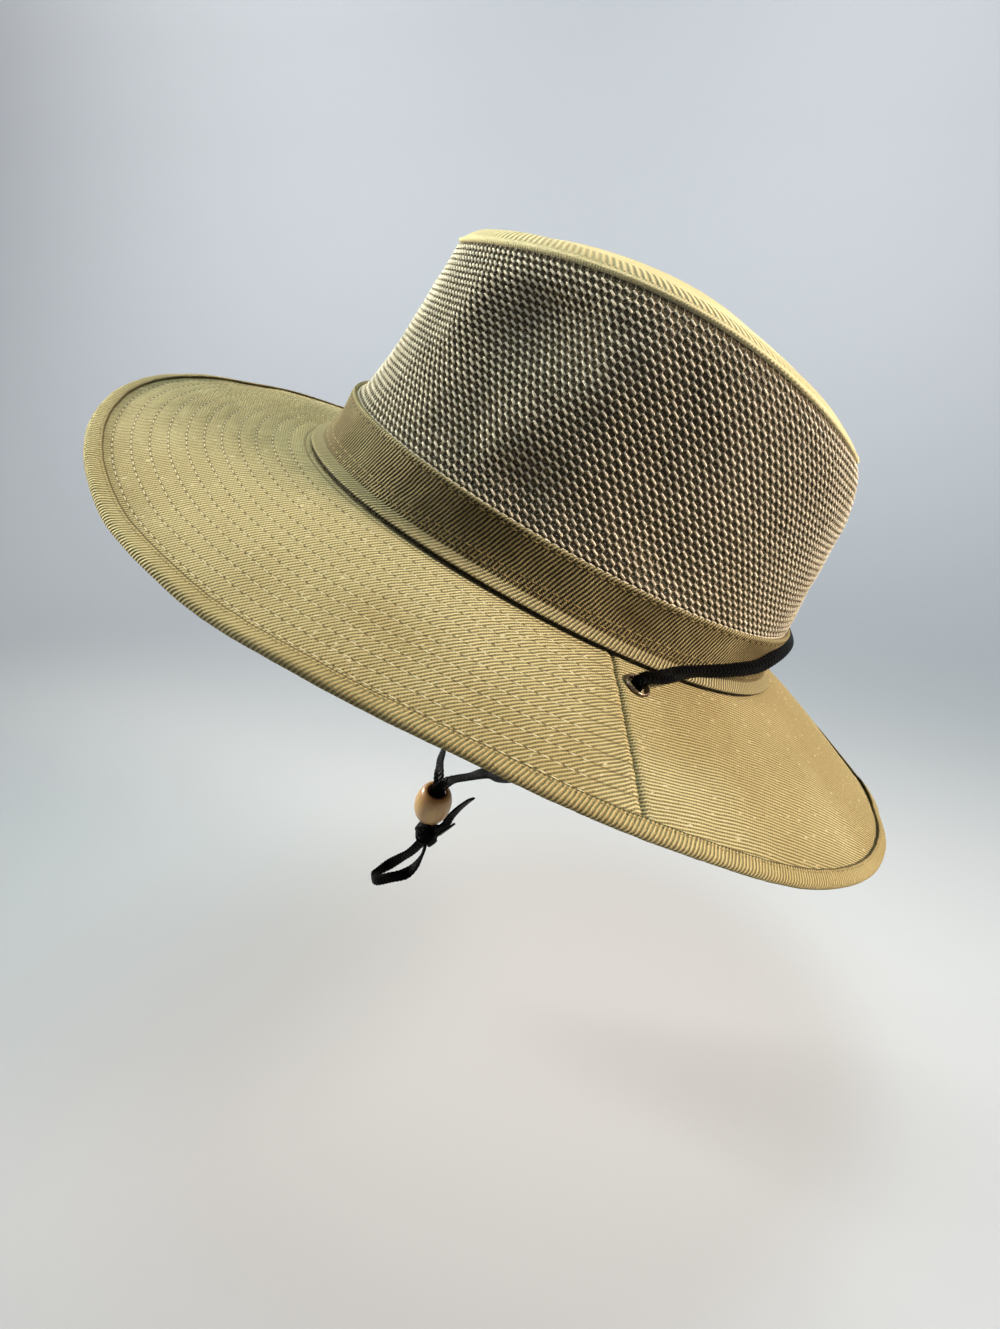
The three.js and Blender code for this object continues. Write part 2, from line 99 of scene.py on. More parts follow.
# Each line of a route is a point on the middle of the braid and the way that its flat side faces.
# The stretch behind the crown is given level, before the hat is tilted.
BACK_HALF = [
    (0.0949, 0.0468, -0.0018, 0.75, -0.65, 0),
    (0.0949, 0.0468, 0.0002, 0.75, -0.65, 0),
    (0.0934, 0.0482, 0.0024, 0.6, -0.4, 0.7),
    (0.0885, 0.053, 0.0036, 0.5, 0, 0.85),
    (0.0836, 0.0566, 0.0044, 0.6, 0.3, 0.75),
    (0.0784, 0.0598, 0.005, 0.75, 0.5, 0.45),
    (0.072, 0.0646, 0.0058, 0.8, 0.6, 0.15),
    (0.0668, 0.0692, 0.0068, 0.8, 0.6, 0),
    (0.0553, 0.082, 0.0104, 0.6, 0.7, 0.35),
    (0.0444, 0.0918, 0.0136, 0.4, 0.65, 0.65),
    (0.036, 0.097, 0.0174, 0.2, 0.6, 0.78),
    (0.024, 0.102, 0.0202, 0.12, 0.6, 0.8),
    (0.012, 0.1052, 0.0216, 0.06, 0.6, 0.8),
]
BACK_MIDDLE = (0, 0.1062, 0.022, 0, 0.6, 0.8)
LEFT_ROUTE = [
    (0.0944, 0.0393, -0.0252, 0.75, -0.57, 0.31),
    (0.0939, 0.0376, -0.0274, 0.8, -0.5, 0.3),
    (0.088, 0.027, -0.043, 0.95, -0.3, 0.2),
    (0.072, 0.009, -0.065, 0.95, -0.2, 0.3),
    (0.052, -0.006, -0.082, 0.92, -0.2, 0.35),
    (0.034, -0.016, -0.0925, 0.9, -0.2, 0.4),
    (0.02, -0.0228, -0.0982, 0.8, -0.2, 0.55),
    (0.014, -0.0285, -0.1024, 0.6, -0.3, 0.75),
    (0.01, -0.0344, -0.1063, 0.25, -0.4, 0.9),
    (0.0069, -0.041, -0.1096, 0.3, -0.45, 0.85),
    (0.0062, -0.0466, -0.1129, 0.8, -0.4, 0.2),
    (0.0055, -0.0499, -0.1169, 0.92, -0.14, -0.37),
    (0.0047, -0.0505, -0.1186, 0.92, -0.14, -0.37),
    (0.0007, -0.0537, -0.1272, 0.92, -0.14, -0.37),
    (-0.0033, -0.0569, -0.1358, 0.92, -0.14, -0.37),
    (-0.0038, -0.0564, -0.1398, 0.9, 0.1, -0.4),
    (-0.0046, -0.0548, -0.1432, 0.85, 0.35, -0.35),
    (-0.0058, -0.0522, -0.1442, 0.8, 0.5, -0.3),
    (-0.0068, -0.0494, -0.1424, 0.8, 0.5, -0.3),
    (-0.0068, -0.0468, -0.138, 0.75, 0.55, -0.35),
    (-0.005, -0.0413, -0.1309, 0.65, 0.6, -0.45),
    (-0.003, -0.0353, -0.1248, 0.5, 0.6, -0.55),
]
RIGHT_ROUTE = [
    (-0.0944, 0.0393, -0.0252, -0.75, -0.57, 0.31),
    (-0.0939, 0.0376, -0.0274, -0.8, -0.5, 0.3),
    (-0.088, 0.025, -0.042, -0.95, -0.3, 0.2),
    (-0.074, 0.002, -0.062, -0.85, -0.5, 0.2),
    (-0.054, -0.022, -0.079, -0.5, -0.8, 0.2),
    (-0.034, -0.039, -0.091, 0, -0.95, 0.2),
    (-0.018, -0.0485, -0.0995, 0.5, -0.85, 0.1),
    (-0.007, -0.0506, -0.1054, 0.85, -0.4, 0),
    (-0.0006, -0.0503, -0.1092, 0.95, -0.2, -0.2),
    (0.0026, -0.0499, -0.113, 0.94, -0.1, -0.3),
    (0.0041, -0.0497, -0.1163, 0.92, -0.14, -0.37),
    (0.0033, -0.0503, -0.118, 0.92, -0.14, -0.37),
    (-0.0007, -0.0535, -0.1266, 0.92, -0.14, -0.37),
    (-0.0047, -0.0567, -0.1352, 0.92, -0.14, -0.37),
    (-0.0046, -0.0567, -0.1405, 0.8, 0.2, -0.4),
    (-0.002, -0.0553, -0.1452, 0.6, 0.5, -0.5),
    (0.0015, -0.0521, -0.1439, 0.5, 0.6, -0.6),
    (0.002, -0.0476, -0.1402, 0.4, 0.6, -0.65),
    (0.002, -0.0435, -0.1368, 0.3, 0.6, -0.7),
]
LOOP_ROUTE = [
    (-0.0022, -0.0588, -0.1475, 0.9, 0.3, -0.3),
    (-0.0028, -0.0617, -0.1518, 0.9, 0.3, -0.3),
    (-0.0044, -0.0672, -0.1582, 0.9, 0.3, -0.3),
    (-0.006, -0.0723, -0.1625, 0.95, 0.2, -0.2),
    (-0.008, -0.0794, -0.1686, 0.95, -0.1, 0),
    (-0.0056, -0.084, -0.1712, 0.6, 0.8, 0),
    (0, -0.0858, -0.1712, 0, 0.95, 0.1),
    (0.005, -0.083, -0.1698, -0.7, 0.7, 0),
    (0.008, -0.0744, -0.1656, -0.95, 0.2, 0),
    (0.007, -0.067, -0.1634, -0.9, 0.3, -0.3),
    (0.0048, -0.0626, -0.1602, -0.5, 0.6, -0.6),
    (0.0024, -0.0596, -0.1556, -0.3, 0.9, 0),
    (0.0008, -0.0582, -0.1515, -0.3, 0.9, 0),
    (-0.0004, -0.0578, -0.1475, -0.3, 0.9, 0),
]


class Value:
    """One output of a material's node tree, so that shader maths reads as plain expressions."""

    def __init__(self, finish, socket):
        self.finish = finish
        self.socket = socket

    def maths(self, operation, *values):
        return self.finish.node("ShaderNodeMath", {"operation": operation}, dict(enumerate(values)))

    def __add__(self, other):
        return self.maths("ADD", self, other)

    def __sub__(self, other):
        return self.maths("SUBTRACT", self, other)

    def __rsub__(self, other):
        return self.maths("SUBTRACT", other, self)

    def __mul__(self, other):
        return self.maths("MULTIPLY", self, other)

    def __truediv__(self, other):
        return self.maths("DIVIDE", self, other)

    def __pow__(self, other):
        return self.maths("POWER", self, other)

    __radd__ = __add__
    __rmul__ = __mul__

    def waves(self, pitch=1):
        """An even wave from 0 to 1, once in every pitch."""
        return self.maths("SINE", self * (2 * math.pi / pitch)) * 0.5 + 0.5

    def size(self):
        return self.maths("ABSOLUTE", self)

    def wrapped(self, length):
        return self.maths("WRAP", self, length, 0.0)

    def clamped(self):
        settings = {"operation": "MULTIPLY", "use_clamp": True}
        return self.finish.node("ShaderNodeMath", settings, {0: self, 1: 1.0})

    def step(self, low, high):
        """0 below low, 1 above high, and a smooth rise between them."""
        settings = {"interpolation_type": "SMOOTHSTEP"}
        return self.finish.node("ShaderNodeMapRange", settings, {0: self, 1: low, 2: high})


class Finish:
    """One material, built from node calls and from expressions on their values."""

    def __init__(self, name, **constants):
        self.material = bpy.data.materials.new(name)
        self.material.use_nodes = True
        self.tree = self.material.node_tree
        self.shader = self.tree.nodes["Principled BSDF"]
        for key, value in constants.items():
            self.shader.inputs[key.replace("_", " ")].default_value = value

    def node(self, kind, settings, values, output=0):
        node = self.tree.nodes.new(kind)
        for key, setting in settings.items():
            setattr(node, key, setting)
        for key, value in values.items():
            self.feed(node.inputs[key], value)
        return Value(self, node.outputs[output])

    def feed(self, socket, value):
        if isinstance(value, Value):
            self.tree.links.new(value.socket, socket)
        elif socket.type == "RGBA" and len(value) == 3:
            socket.default_value = (*value, 1)
        else:
            socket.default_value = value

    def surface(self, **inputs):
        for key, value in inputs.items():
            self.feed(self.shader.inputs[key.replace("_", " ")], value)
        return self.material

    def parts(self, place, axes):
        """The parts of a place along some axes."""
        apart = {"Vector": place}
        return [self.node("ShaderNodeSeparateXYZ", {}, apart, output=axis) for axis in axes]

    def over_cloth(self, name="cloth"):
        """The two distances over the cloth that one of the piece's own maps holds."""
        return self.parts(self.node("ShaderNodeUVMap", {"uv_map": name}, {}), "XY")

    def objects(self):
        return self.node("ShaderNodeTexCoord", {}, {}, output="Object")

    def noise(self, scale, detail=3.0, place=None):
        values = {"Vector": place or self.objects(), "Scale": scale, "Detail": detail}
        return self.node("ShaderNodeTexNoise", {}, values)

    def patches(self, scale, low, high, detail=2.0, place=None):
        """Uneven patches with soft edges, 0 where the noise is low and 1 where it is high."""
        return self.noise(scale, detail, place).step(low, high)

    def mix(self, factor, first, second):
        values = {0: factor, 6: first, 7: second}
        return self.node("ShaderNodeMix", {"data_type": "RGBA"}, values, output=2)

    def bump(self, height, distance):
        values = {"Height": height, "Distance": distance, "Strength": 1.0}
        return self.node("ShaderNodeBump", {}, values)


def finished(name, mesh, material, slot, *nodes):
    """Makes a piece of a finished mesh, smooth, on the one body, standing for its solids."""
    piece = bpy.data.objects.new(name, mesh)
    bpy.context.scene.collection.objects.link(piece)
    mesh.materials.append(material)
    for face in mesh.polygons:
        face.use_smooth = True
    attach(piece, "root")
    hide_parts(*nodes)
    return piece


WELD = 1e-6


def sheet_of(columns, rows, place, cloth, **others):
    """A grid of cloth. Each point has two shares, 0 to 1, along and across; one rule gives its
    place, and the others its two distances on a map of that name, which the materials read."""
    bm = bmesh.new()
    bmesh.ops.create_grid(bm, x_segments=columns, y_segments=rows, size=0.5)
    for name, rule in {"cloth": cloth, **others}.items():
        layer = bm.loops.layers.uv.new(name)
        for face in bm.faces:
            for loop in face.loops:
                loop[layer].uv = rule(loop.vert.co.x + 0.5, loop.vert.co.y + 0.5)
    for point in bm.verts:
        point.co = place(point.co.x + 0.5, point.co.y + 0.5)
    return bm


def closed(bm):
    """Joins a shape's points where its sides meet, and turns its faces outwards."""
    bmesh.ops.remove_doubles(bm, verts=bm.verts, dist=WELD)
    bmesh.ops.recalc_face_normals(bm, faces=bm.faces)
    return bm


def mesh_of(name, bm):
    mesh = bpy.data.meshes.new(name)
    bm.to_mesh(mesh)
    bm.free()
    return mesh


def curve_point(route, at):
    """A point on a smooth curve through every line of a route, mixed in all of its numbers; at is
    the line's own number, or a number between those of two lines."""
    last = len(route) - 1
    i = min(int(at), last - 1)
    knots = [route[max(i - 1, 0)], route[i], route[i + 1], route[min(i + 2, last)]]
    times = [0.0]
    for one, other in zip(knots, knots[1:]):
        gap = math.dist(one[:3], other[:3])
        times.append(times[-1] + max(gap, 1e-5) ** 0.5)
    now = times[1] + (at - i) * (times[2] - times[1])

    def between(one, other, start, end):
        share = (now - start) / (end - start)
        return [a + (b - a) * share for a, b in zip(one, other)]

    first = [between(knots[k], knots[k + 1], times[k], times[k + 1]) for k in range(3)]
    second = [between(first[k], first[k + 1], times[k], times[k + 2]) for k in range(2)]
    return between(second[0], second[1], times[1], times[2])


def evened(route, spacing):
    """The same route as many points at one spacing, each with its place and its facing."""
    parts = 40
    fine = [curve_point(route, k / parts) for k in range(parts * (len(route) - 1) + 1)]
    length = [0.0]
    for one, other in zip(fine, fine[1:]):
        length.append(length[-1] + math.dist(one[:3], other[:3]))
    count = round(length[-1] / spacing)
    points = []
    k = 0
    for step in range(count + 1):
        target = length[-1] * step / count
        while k < len(fine) - 2 and length[k + 1] < target:
            k += 1
        share = (target - length[k]) / (length[k + 1] - length[k])
        mixed = [a + (b - a) * share for a, b in zip(fine[k], fine[k + 1])]
        points.append((Vector(mixed[:3]), Vector(mixed[3:])))
    return points


def powered(part, power):
    """A part of a round section, pressed toward a square one, with its sign kept."""
    return math.copysign(abs(part) ** power, part)


def braid_of(points, spacing, width):
    """A flat braid along points: a rounded strip whose edges bulge a little at every crossing."""

    def frame_at(k):
        ahead = (points[min(k + 1, len(points) - 1)][0] - points[max(k - 1, 0)][0]).normalized()
        across = points[k][1].cross(ahead).normalized()
        return across, ahead.cross(across)

    frames = [frame_at(k) for k in range(len(points))]

    def place(along, about):
        k = round(along * (len(points) - 1))
        across, face = frames[k]
        turn = 2 * math.pi * about
        phase = 2 * math.pi * k * spacing / BRAID_PITCH
        bulge = 1 + BRAID_BULGE * math.sin(phase) * math.cos(turn)
        out = powered(math.cos(turn), BRAID_EDGE_POWER) * bulge
        lift = powered(math.sin(turn), BRAID_FACE_POWER)
        return points[k][0] + across * out * width / 2 + face * lift * CORD_THICKNESS / 2

    def mapped(along, about):
        turn = 2 * math.pi * about
        return along * (len(points) - 1) * spacing, math.cos(turn) * width / 2

    bm = closed(sheet_of(len(points) - 1, BRAID_SIDES, place, mapped))
    ends = [edge for edge in bm.edges if edge.is_boundary]
    bmesh.ops.holes_fill(bm, edges=ends, sides=0)
    bmesh.ops.recalc_face_normals(bm, faces=bm.faces)
    return bm


def braid_finish():
    """Black satin thread in a flat braid: strands slant in from both edges and cross mid-way, with a
    painted sheen on their crests and a paler tone on worn patches.
    """
    finish = Finish("black_braid", Specular_IOR_Level=0.03)
    along, across = finish.over_cloth()
    slant = along / BRAID_PITCH + across.size() * (BRAID_SLANT / BRAID_PITCH)
    strand = slant.waves()
    fibre = slant.waves(1 / BRAID_FIBRES)
    worn = finish.noise(700.0)
    # Painted sheen: the crest of each strand, and the worn patches, are mixed toward a less black
    # tone.
    colour = finish.mix(strand * 0.7 + worn * 0.3, BRAID_BLACK, BRAID_WEAR_AND_SHEEN)
    height = strand + fibre * 0.15
    return finish.surface(
        Base_Color=colour,
        Roughness=0.4 - strand * 0.1,
        Normal=finish.bump(height, 0.0004),
    )


BRAID = braid_finish()


def braided(name, route, nodes):
    """A free stretch of the braid along a route, from its first point."""
    points = evened(route, BRAID_STEP)
    mesh = mesh_of(name, braid_of(points, BRAID_STEP, CORD_WIDTH))
    piece = finished(name, mesh, BRAID, "cord_braid", *nodes)


def tilted(line, side=1):
    """A line of the level route as it lies on the tilted hat, on one side or the other."""
    place = TILTED @ Vector((side * line[0], line[1], line[2]))
    face = TILTED @ Vector((side * line[3], line[4], line[5]))
    return (*place, *face)


BACK_ROUTE = [tilted(line) for line in BACK_HALF]
BACK_ROUTE += [tilted(BACK_MIDDLE)]
BACK_ROUTE += [tilted(line, side=-1) for line in reversed(BACK_HALF)]


# The knot: both legs tied together in one overhand knot, so that several turns of the braid lie
# across each other over a tight middle.

KNOT_PLACE = Vector((-0.0015, -0.0576, -0.1448))
KNOT_HALF = Vector((0.0046, 0.0056, 0.0069))
KNOT_CORE = 0.78
KNOT_CORE_GRID = (32, 16)
KNOT_STEPS = 60
KNOT_BRAID_WIDTH = 0.9 * CORD_WIDTH
# Each turn of the braid: the way that it leans, how far out it lies and how far off the middle.
KNOT_TURNS = [
    {"lean": (0.25, 0.1, 1.0), "swell": 0.82, "drop": 0.22},
    {"lean": (0.9, -0.5, 0.7), "swell": 0.88, "drop": -0.08},
    {"lean": (-0.6, 0.75, 0.6), "swell": 0.94, "drop": -0.12},
]


def on_knot(spot, swell):
    return KNOT_PLACE + swell * Vector(half * part for half, part in zip(KNOT_HALF, spot))


def knot_turn(lean, swell, drop):
    """One turn of the braid round the knot, square to the way that it leans."""
    away = Vector(lean).normalized()
    first = away.orthogonal().normalized()
    second = away.cross(first)
    points = []
    for k in range(KNOT_STEPS + 1):
        turn = 2 * math.pi * k / KNOT_STEPS
        out = first * math.cos(turn) + second * math.sin(turn)
        spot = out * math.sqrt(1 - drop * drop) + away * drop
        points.append((on_knot(spot, swell), spot))
    return points


def knot_core():
    def place(along, about):
        turn = 2 * math.pi * along
        rise = math.pi * (about - 0.5)
        flat = math.cos(rise)
        return on_knot((flat * math.cos(turn), flat * math.sin(turn), math.sin(rise)), KNOT_CORE)

    def mapped(along, about):
        return along * 2 * math.pi * KNOT_HALF.y, (about - 0.5) * math.pi * KNOT_HALF.z

    return closed(sheet_of(*KNOT_CORE_GRID, place, mapped))


def joined(name, parts):
    """One mesh of several bmeshes."""
    whole = bmesh.new()
    for part in parts:
        whole.from_mesh(mesh_of(name, part))
    return mesh_of(name, whole)


knot_parts = [knot_core()]
for turn in KNOT_TURNS:
    around = knot_turn(**turn)
    spacing = math.dist(around[0][0], around[1][0])
    knot_parts.append(braid_of(around, spacing, KNOT_BRAID_WIDTH))
knot = finished("knot_braid", joined("knot_braid", knot_parts), BRAID, "cord_braid", "cord_knot")


# The slide bead: a turned barrel of light hardwood, varnished and bored through, darker toward its
# ends and a dark red-brown round the mouths of the bore, with painted shade inside it. Both legs of
# the cord run through it.

BEAD_PLACE = Vector((0, -0.0536, -0.1269))
BEAD_LEAN = Vector((0.4, 0.32, 0.86)).normalized()
BEAD_LENGTH = 0.020
BEAD_RADIUS = 0.0088
BEAD_END_RADIUS = 0.0056
BEAD_BORE = 0.0037
BEAD_ROUND = 0.0007
BEAD_CHAMFER = (0.0003, 0.0001)
BEAD_END_FLAT = 0.0002
BEAD_BELLY = 2.3
BEAD_SIDE_STEPS = 12
BEAD_STEPS = 64
# Where the wood is dark: toward both ends along the bead, round the mouths of the bore, and inside the
# bore, where the dark is painted shade.
ENDS_ALONG = (0.0035, 0.009)
MOUTH_ALONG = (0.0088, 0.0094)
MOUTH_ACROSS = (0.0046, 0.0053)
BORE_ACROSS = (BEAD_BORE + 0.0001, BEAD_BORE + 0.0003)
WOOD_HONEY = (0.4, 0.25, 0.08)
WOOD_STREAK = (0.33, 0.18, 0.05)
WOOD_GRAIN = (0.24, 0.1, 0.03)
WOOD_ENDS = (0.27, 0.12, 0.028)
WOOD_DARK_AND_BORE_SHADE = (0.075, 0.02, 0.01)


def bead_profile():
    """Half of the bead's section, from the bore over the side to the bore again."""
    half = BEAD_LENGTH / 2
    shares = [k / BEAD_SIDE_STEPS for k in range(1 - BEAD_SIDE_STEPS, BEAD_SIDE_STEPS)]
    narrow = BEAD_RADIUS - BEAD_END_RADIUS - BEAD_ROUND
    side = [(BEAD_RADIUS - narrow * abs(share) ** BEAD_BELLY, half * share) for share in shares]
    foot = [
        (BEAD_BORE, -half + BEAD_ROUND),
        (BEAD_BORE + BEAD_CHAMFER[0], -half + BEAD_CHAMFER[1]),
        (BEAD_BORE + BEAD_ROUND, -half),
        (BEAD_END_RADIUS - BEAD_END_FLAT, -half),
    ]
    top = [(radius, -height) for radius, height in reversed(foot)]
    return foot + side + top


def turned(profile, steps):
    """Spins a closed section round the upright axis."""
    bm = bmesh.new()
    points = [bm.verts.new((radius, 0, height)) for radius, height in profile]
    edges = [bm.edges.new(pair) for pair in zip(points, points[1:] + points[:1])]
    bmesh.ops.spin(
        bm, geom=points + edges, cent=(0, 0, 0), axis=(0, 0, 1), angle=2 * math.pi,
        steps=steps, use_merge=True,
    )
    return closed(bm)


def upright_to(axis, place):
    """Turns the upright axis to another one and moves it to a place."""
    turn = Vector((0, 0, 1)).rotation_difference(Vector(axis)).to_matrix().to_4x4()
    return Matrix.Translation(place) @ turn


def bead_finish():
    """Honey-coloured wood: fine long grain, darker streaks, darker ends, a dark red-brown round the
    mouths of the bore, painted shade inside it, and satin varnish.
    """
    finish = Finish("honey_wood", Coat_Roughness=0.25, Specular_IOR_Level=0.5)
    upright = upright_to(BEAD_LEAN, BEAD_PLACE)
    local = finish.node("ShaderNodeMapping", {"vector_type": "TEXTURE"}, {
        "Vector": finish.objects(), "Location": BEAD_PLACE, "Rotation": upright.to_euler(),
    })
    x, y, z = finish.parts(local, "XYZ")
    radius = (x * x + y * y) ** 0.5
    along = z.size()
    stretched = finish.node("ShaderNodeMapping", {}, {"Vector": local, "Scale": (1, 1, 0.1)})
    grain = finish.noise(900.0, 4.0, stretched)
    streak = finish.patches(260.0, 0.35, 0.7, place=stretched)
    base = finish.mix(streak, WOOD_HONEY, WOOD_STREAK)
    base = finish.mix(grain.step(0.5, 0.75) * 0.5, base, WOOD_GRAIN)
    base = finish.mix(along.step(*ENDS_ALONG) * 0.7, base, WOOD_ENDS)
    # A dark red-brown round the mouths of the bore, and painted shade on the bore's inner wall.
    mouth = (1 - radius.step(*MOUTH_ACROSS)) * along.step(*MOUTH_ALONG)
    inside = 1 - radius.step(*BORE_ACROSS)
    dark = (mouth + inside).clamped()
    colour = finish.mix(dark, base, WOOD_DARK_AND_BORE_SHADE)
    return finish.surface(
        Base_Color=colour,
        Roughness=0.34 + grain * 0.15,
        Coat_Weight=0.35 - dark * 0.3,
        Normal=finish.bump(grain, 0.00006),
    )


bead_shape = turned(bead_profile(), BEAD_STEPS)
bmesh.ops.transform(bead_shape, matrix=upright_to(BEAD_LEAN, BEAD_PLACE), verts=bead_shape.verts)
bead_mesh = mesh_of("bead_barrel", bead_shape)
bead = finished("bead_barrel", bead_mesh, bead_finish(), "bead_wood", "cord_bead")

braided("braid_behind", BACK_ROUTE, ["chin_cord_back"])
braided(
    "braid_left", LEFT_ROUTE, ["chin_cord_left", "cord_end_long"],
)
braided(
    "braid_right", RIGHT_ROUTE, ["chin_cord_right", "cord_end_short"],
)
braided("braid_loop", LOOP_ROUTE, ["cord_loop"])


# The brim: two layers of cotton twill over a soft filling. The front part is quilted with rows of
# stitching along the edge, and the back part is plain; they meet in a seam on each side.

HEM = dict(front=0.1096, side=0.0923, egg=0.04, shift=0, height=0, rise=-0.0011, side_rise=0.0017)
BRIM_WIDTH = 0.0804
BRIM_FRONT_EXTRA = 0.0012
BRIM_THICKNESS = 0.0014
BRIM_TUCK = 0.006
BRIM_STRAIGHT = 0.78
DROOP_MEAN = 16.2
DROOP_FRONT = (-1.1, 2.9, -1.2, -1.9)
DROOP_LEFT = (2.1, 3.2)
SEAM_AT_HEM = 108.8
SEAM_AT_EDGE = 110.4
SEAM_VALLEY = {"high": 0.0008, "reach": 0.0007}
SEAM_RIDGE = {"high": 0.0003, "off": 0.0025, "reach": 0.0014}
GAP = 0.0003
BRIM_SINK = 0.0002
BRIM_HELD_IN = 0.0009
BRIM_FRONT_GRID = (260, 76)
BRIM_BACK_GRID = (180, 60)
QUILT_SPACING = 0.0064
QUILT_FIRST = 0.006
QUILT_LAST = 0.0722
QUILT_DEPTH = 0.0002
QUILT_PUFF = 0.35
QUILT_VALLEY = 0.0011
# A kind of wrinkle: its height, the size of its bumps, and a number that sets it apart.
BRIM_FOLDS = (0.0008, 0.03, 0)
BRIM_CREASES = (0.0003, 0.009, 7)
WRINKLES_FROM_HEM = 0.01
CLOTH_GLOSS = 0.15
TWILL_PITCH = 0.00136
TWILL_THREAD = 0.0011
FRONT_SLANT = math.radians(49)
BACK_SLANT = math.radians(32)
KHAKI = (0.5, 0.4, 0.175)
# Painted shade in the twill's rib lines and stitch grooves, and the colour of its dark specks.
KHAKI_SHADE_AND_SPECK = (0.105, 0.076, 0.024)
KHAKI_PALE = (0.66, 0.57, 0.29)
SLUB = (0.9, 0.82, 0.55)


def oval_point(oval, angle):
    """A point of one of the hat's level ovals, before the hat is tilted."""
    forward = math.cos(angle)
    return Vector((
        oval["side"] * math.sin(angle) * (1 + oval["egg"] * forward),
        oval["shift"] - oval["front"] * forward,
        oval["height"] + oval["rise"] * forward - oval["side_rise"] * math.cos(2 * angle),
    ))


def outward(angle):
    """The level direction straight out from the side of the crown."""
    return Vector((math.sin(angle) / HEM["side"], -math.cos(angle) / HEM["front"], 0)).normalized()


def brim_width(angle):
    return BRIM_WIDTH + BRIM_FRONT_EXTRA * math.cos(angle)


def brim_droop(angle):
    degrees = DROOP_MEAN
    degrees += sum(size * math.cos((k + 1) * angle) for k, size in enumerate(DROOP_FRONT))
    degrees += sum(size * math.sin((k + 1) * angle) for k, size in enumerate(DROOP_LEFT))
    return math.radians(degrees)


def brim_point(angle, out, up):
    """A point over the upper side of the brim, before the hat is tilted."""
    width = brim_width(angle)
    share = max(out, 0) / width
    curve = BRIM_STRAIGHT + (1 - BRIM_STRAIGHT) * share
    fall = math.sin(brim_droop(angle)) * width * share * curve
    reach = out * math.cos(brim_droop(angle)) if out > 0 else out
    point = oval_point(HEM, angle) + outward(angle) * reach
    point.z += up - GAP - fall
    return point


def wrinkle(place, kind):
    """A smooth uneven rise and fall over the cloth, of one kind."""
    high, size, seed = kind
    return high * noise.noise(place / size + Vector((seed, 0, 0)))


def bell(distance, reach):
    """1 at no distance, fading to 0 past a reach."""
    return math.exp(-((distance / reach) ** 2))


def quilt_relief(out):
    """How far the quilted cloth puffs up between its stitch rows and sinks at them."""
    rows = (QUILT_LAST - out) / QUILT_SPACING
    if rows < -0.5 or out < 0.001:
        return 0
    off = abs(rows - round(rows)) * QUILT_SPACING
    return QUILT_DEPTH * (QUILT_PUFF - bell(off, QUILT_VALLEY))


def from_front(angle):
    """The angle from the front, in degrees, the same on both sides."""
    return abs(math.degrees(math.atan2(math.sin(angle), math.cos(angle))))


def seam_dip(angle, out):
    """How far both cloths turn down into the side seam, past a small ridge beside it."""
    seam = SEAM_AT_HEM + (SEAM_AT_EDGE - SEAM_AT_HEM) * out / BRIM_WIDTH
    off = math.radians(abs(from_front(angle) - seam)) * (HEM["side"] + out)
    valley = SEAM_VALLEY["high"] * bell(off, SEAM_VALLEY["reach"])
    return valley - SEAM_RIDGE["high"] * bell(off - SEAM_RIDGE["off"], SEAM_RIDGE["reach"])


def cloth_rise(angle, out, quilted):
    """How high the cloth lies over the smooth brim, with its wrinkles, its seams and its rows."""
    flat = brim_point(angle, out, 0)
    up = wrinkle(flat, BRIM_FOLDS) + wrinkle(flat, BRIM_CREASES)
    up *= min(1, max(0, out) / WRINKLES_FROM_HEM)
    up -= seam_dip(angle, out)
    if quilted:
        up += quilt_relief(out)
    return up - BRIM_SINK


def brim_panel(start, end, quilted, columns, rows):
    """A part of the brim between two seams, each given by its angle at the hem and at the edge."""

    def at(along, across):
        first = start[0] + (start[1] - start[0]) * across
        last = end[0] + (end[1] - end[0]) * across
        angle = math.radians(first + (last - first) * along)
        far = brim_width(angle) - BRIM_HELD_IN
        return angle, -BRIM_TUCK + (far + BRIM_TUCK) * across

    def place(along, across):
        angle, out = at(along, across)
        return TILTED @ brim_point(angle, out, cloth_rise(angle, out, quilted))

    def mapped(along, across):
        angle, out = at(along, across)
        flat = oval_point(HEM, angle) + outward(angle) * out
        return flat.x, flat.y

    def rowed(along, across):
        """How many stitch rows in from the outer one, from half-way between two of them."""
        row = (QUILT_LAST - at(along, across)[1]) / QUILT_SPACING
        return (row + 0.5 if quilted and row > -0.5 else 0), 0

    bm = sheet_of(columns, rows, place, mapped, stitch_rows=rowed)
    bmesh.ops.recalc_face_normals(bm, faces=bm.faces)
    return bm


def facing_up(bm):
    """Turns an open cloth over if it faces down."""
    if sum((TILTED.inverted().to_3x3() @ face.normal).z for face in bm.faces) < 0:
        bmesh.ops.reverse_faces(bm, faces=bm.faces)
    return bm


def thickened(piece, thickness, inner=0):
    """Gives a cloth its thickness, away from the side that shows."""
    solid = piece.modifiers.new("thickness", "SOLIDIFY")
    solid.thickness = thickness
    solid.offset = -1
    solid.material_offset = inner


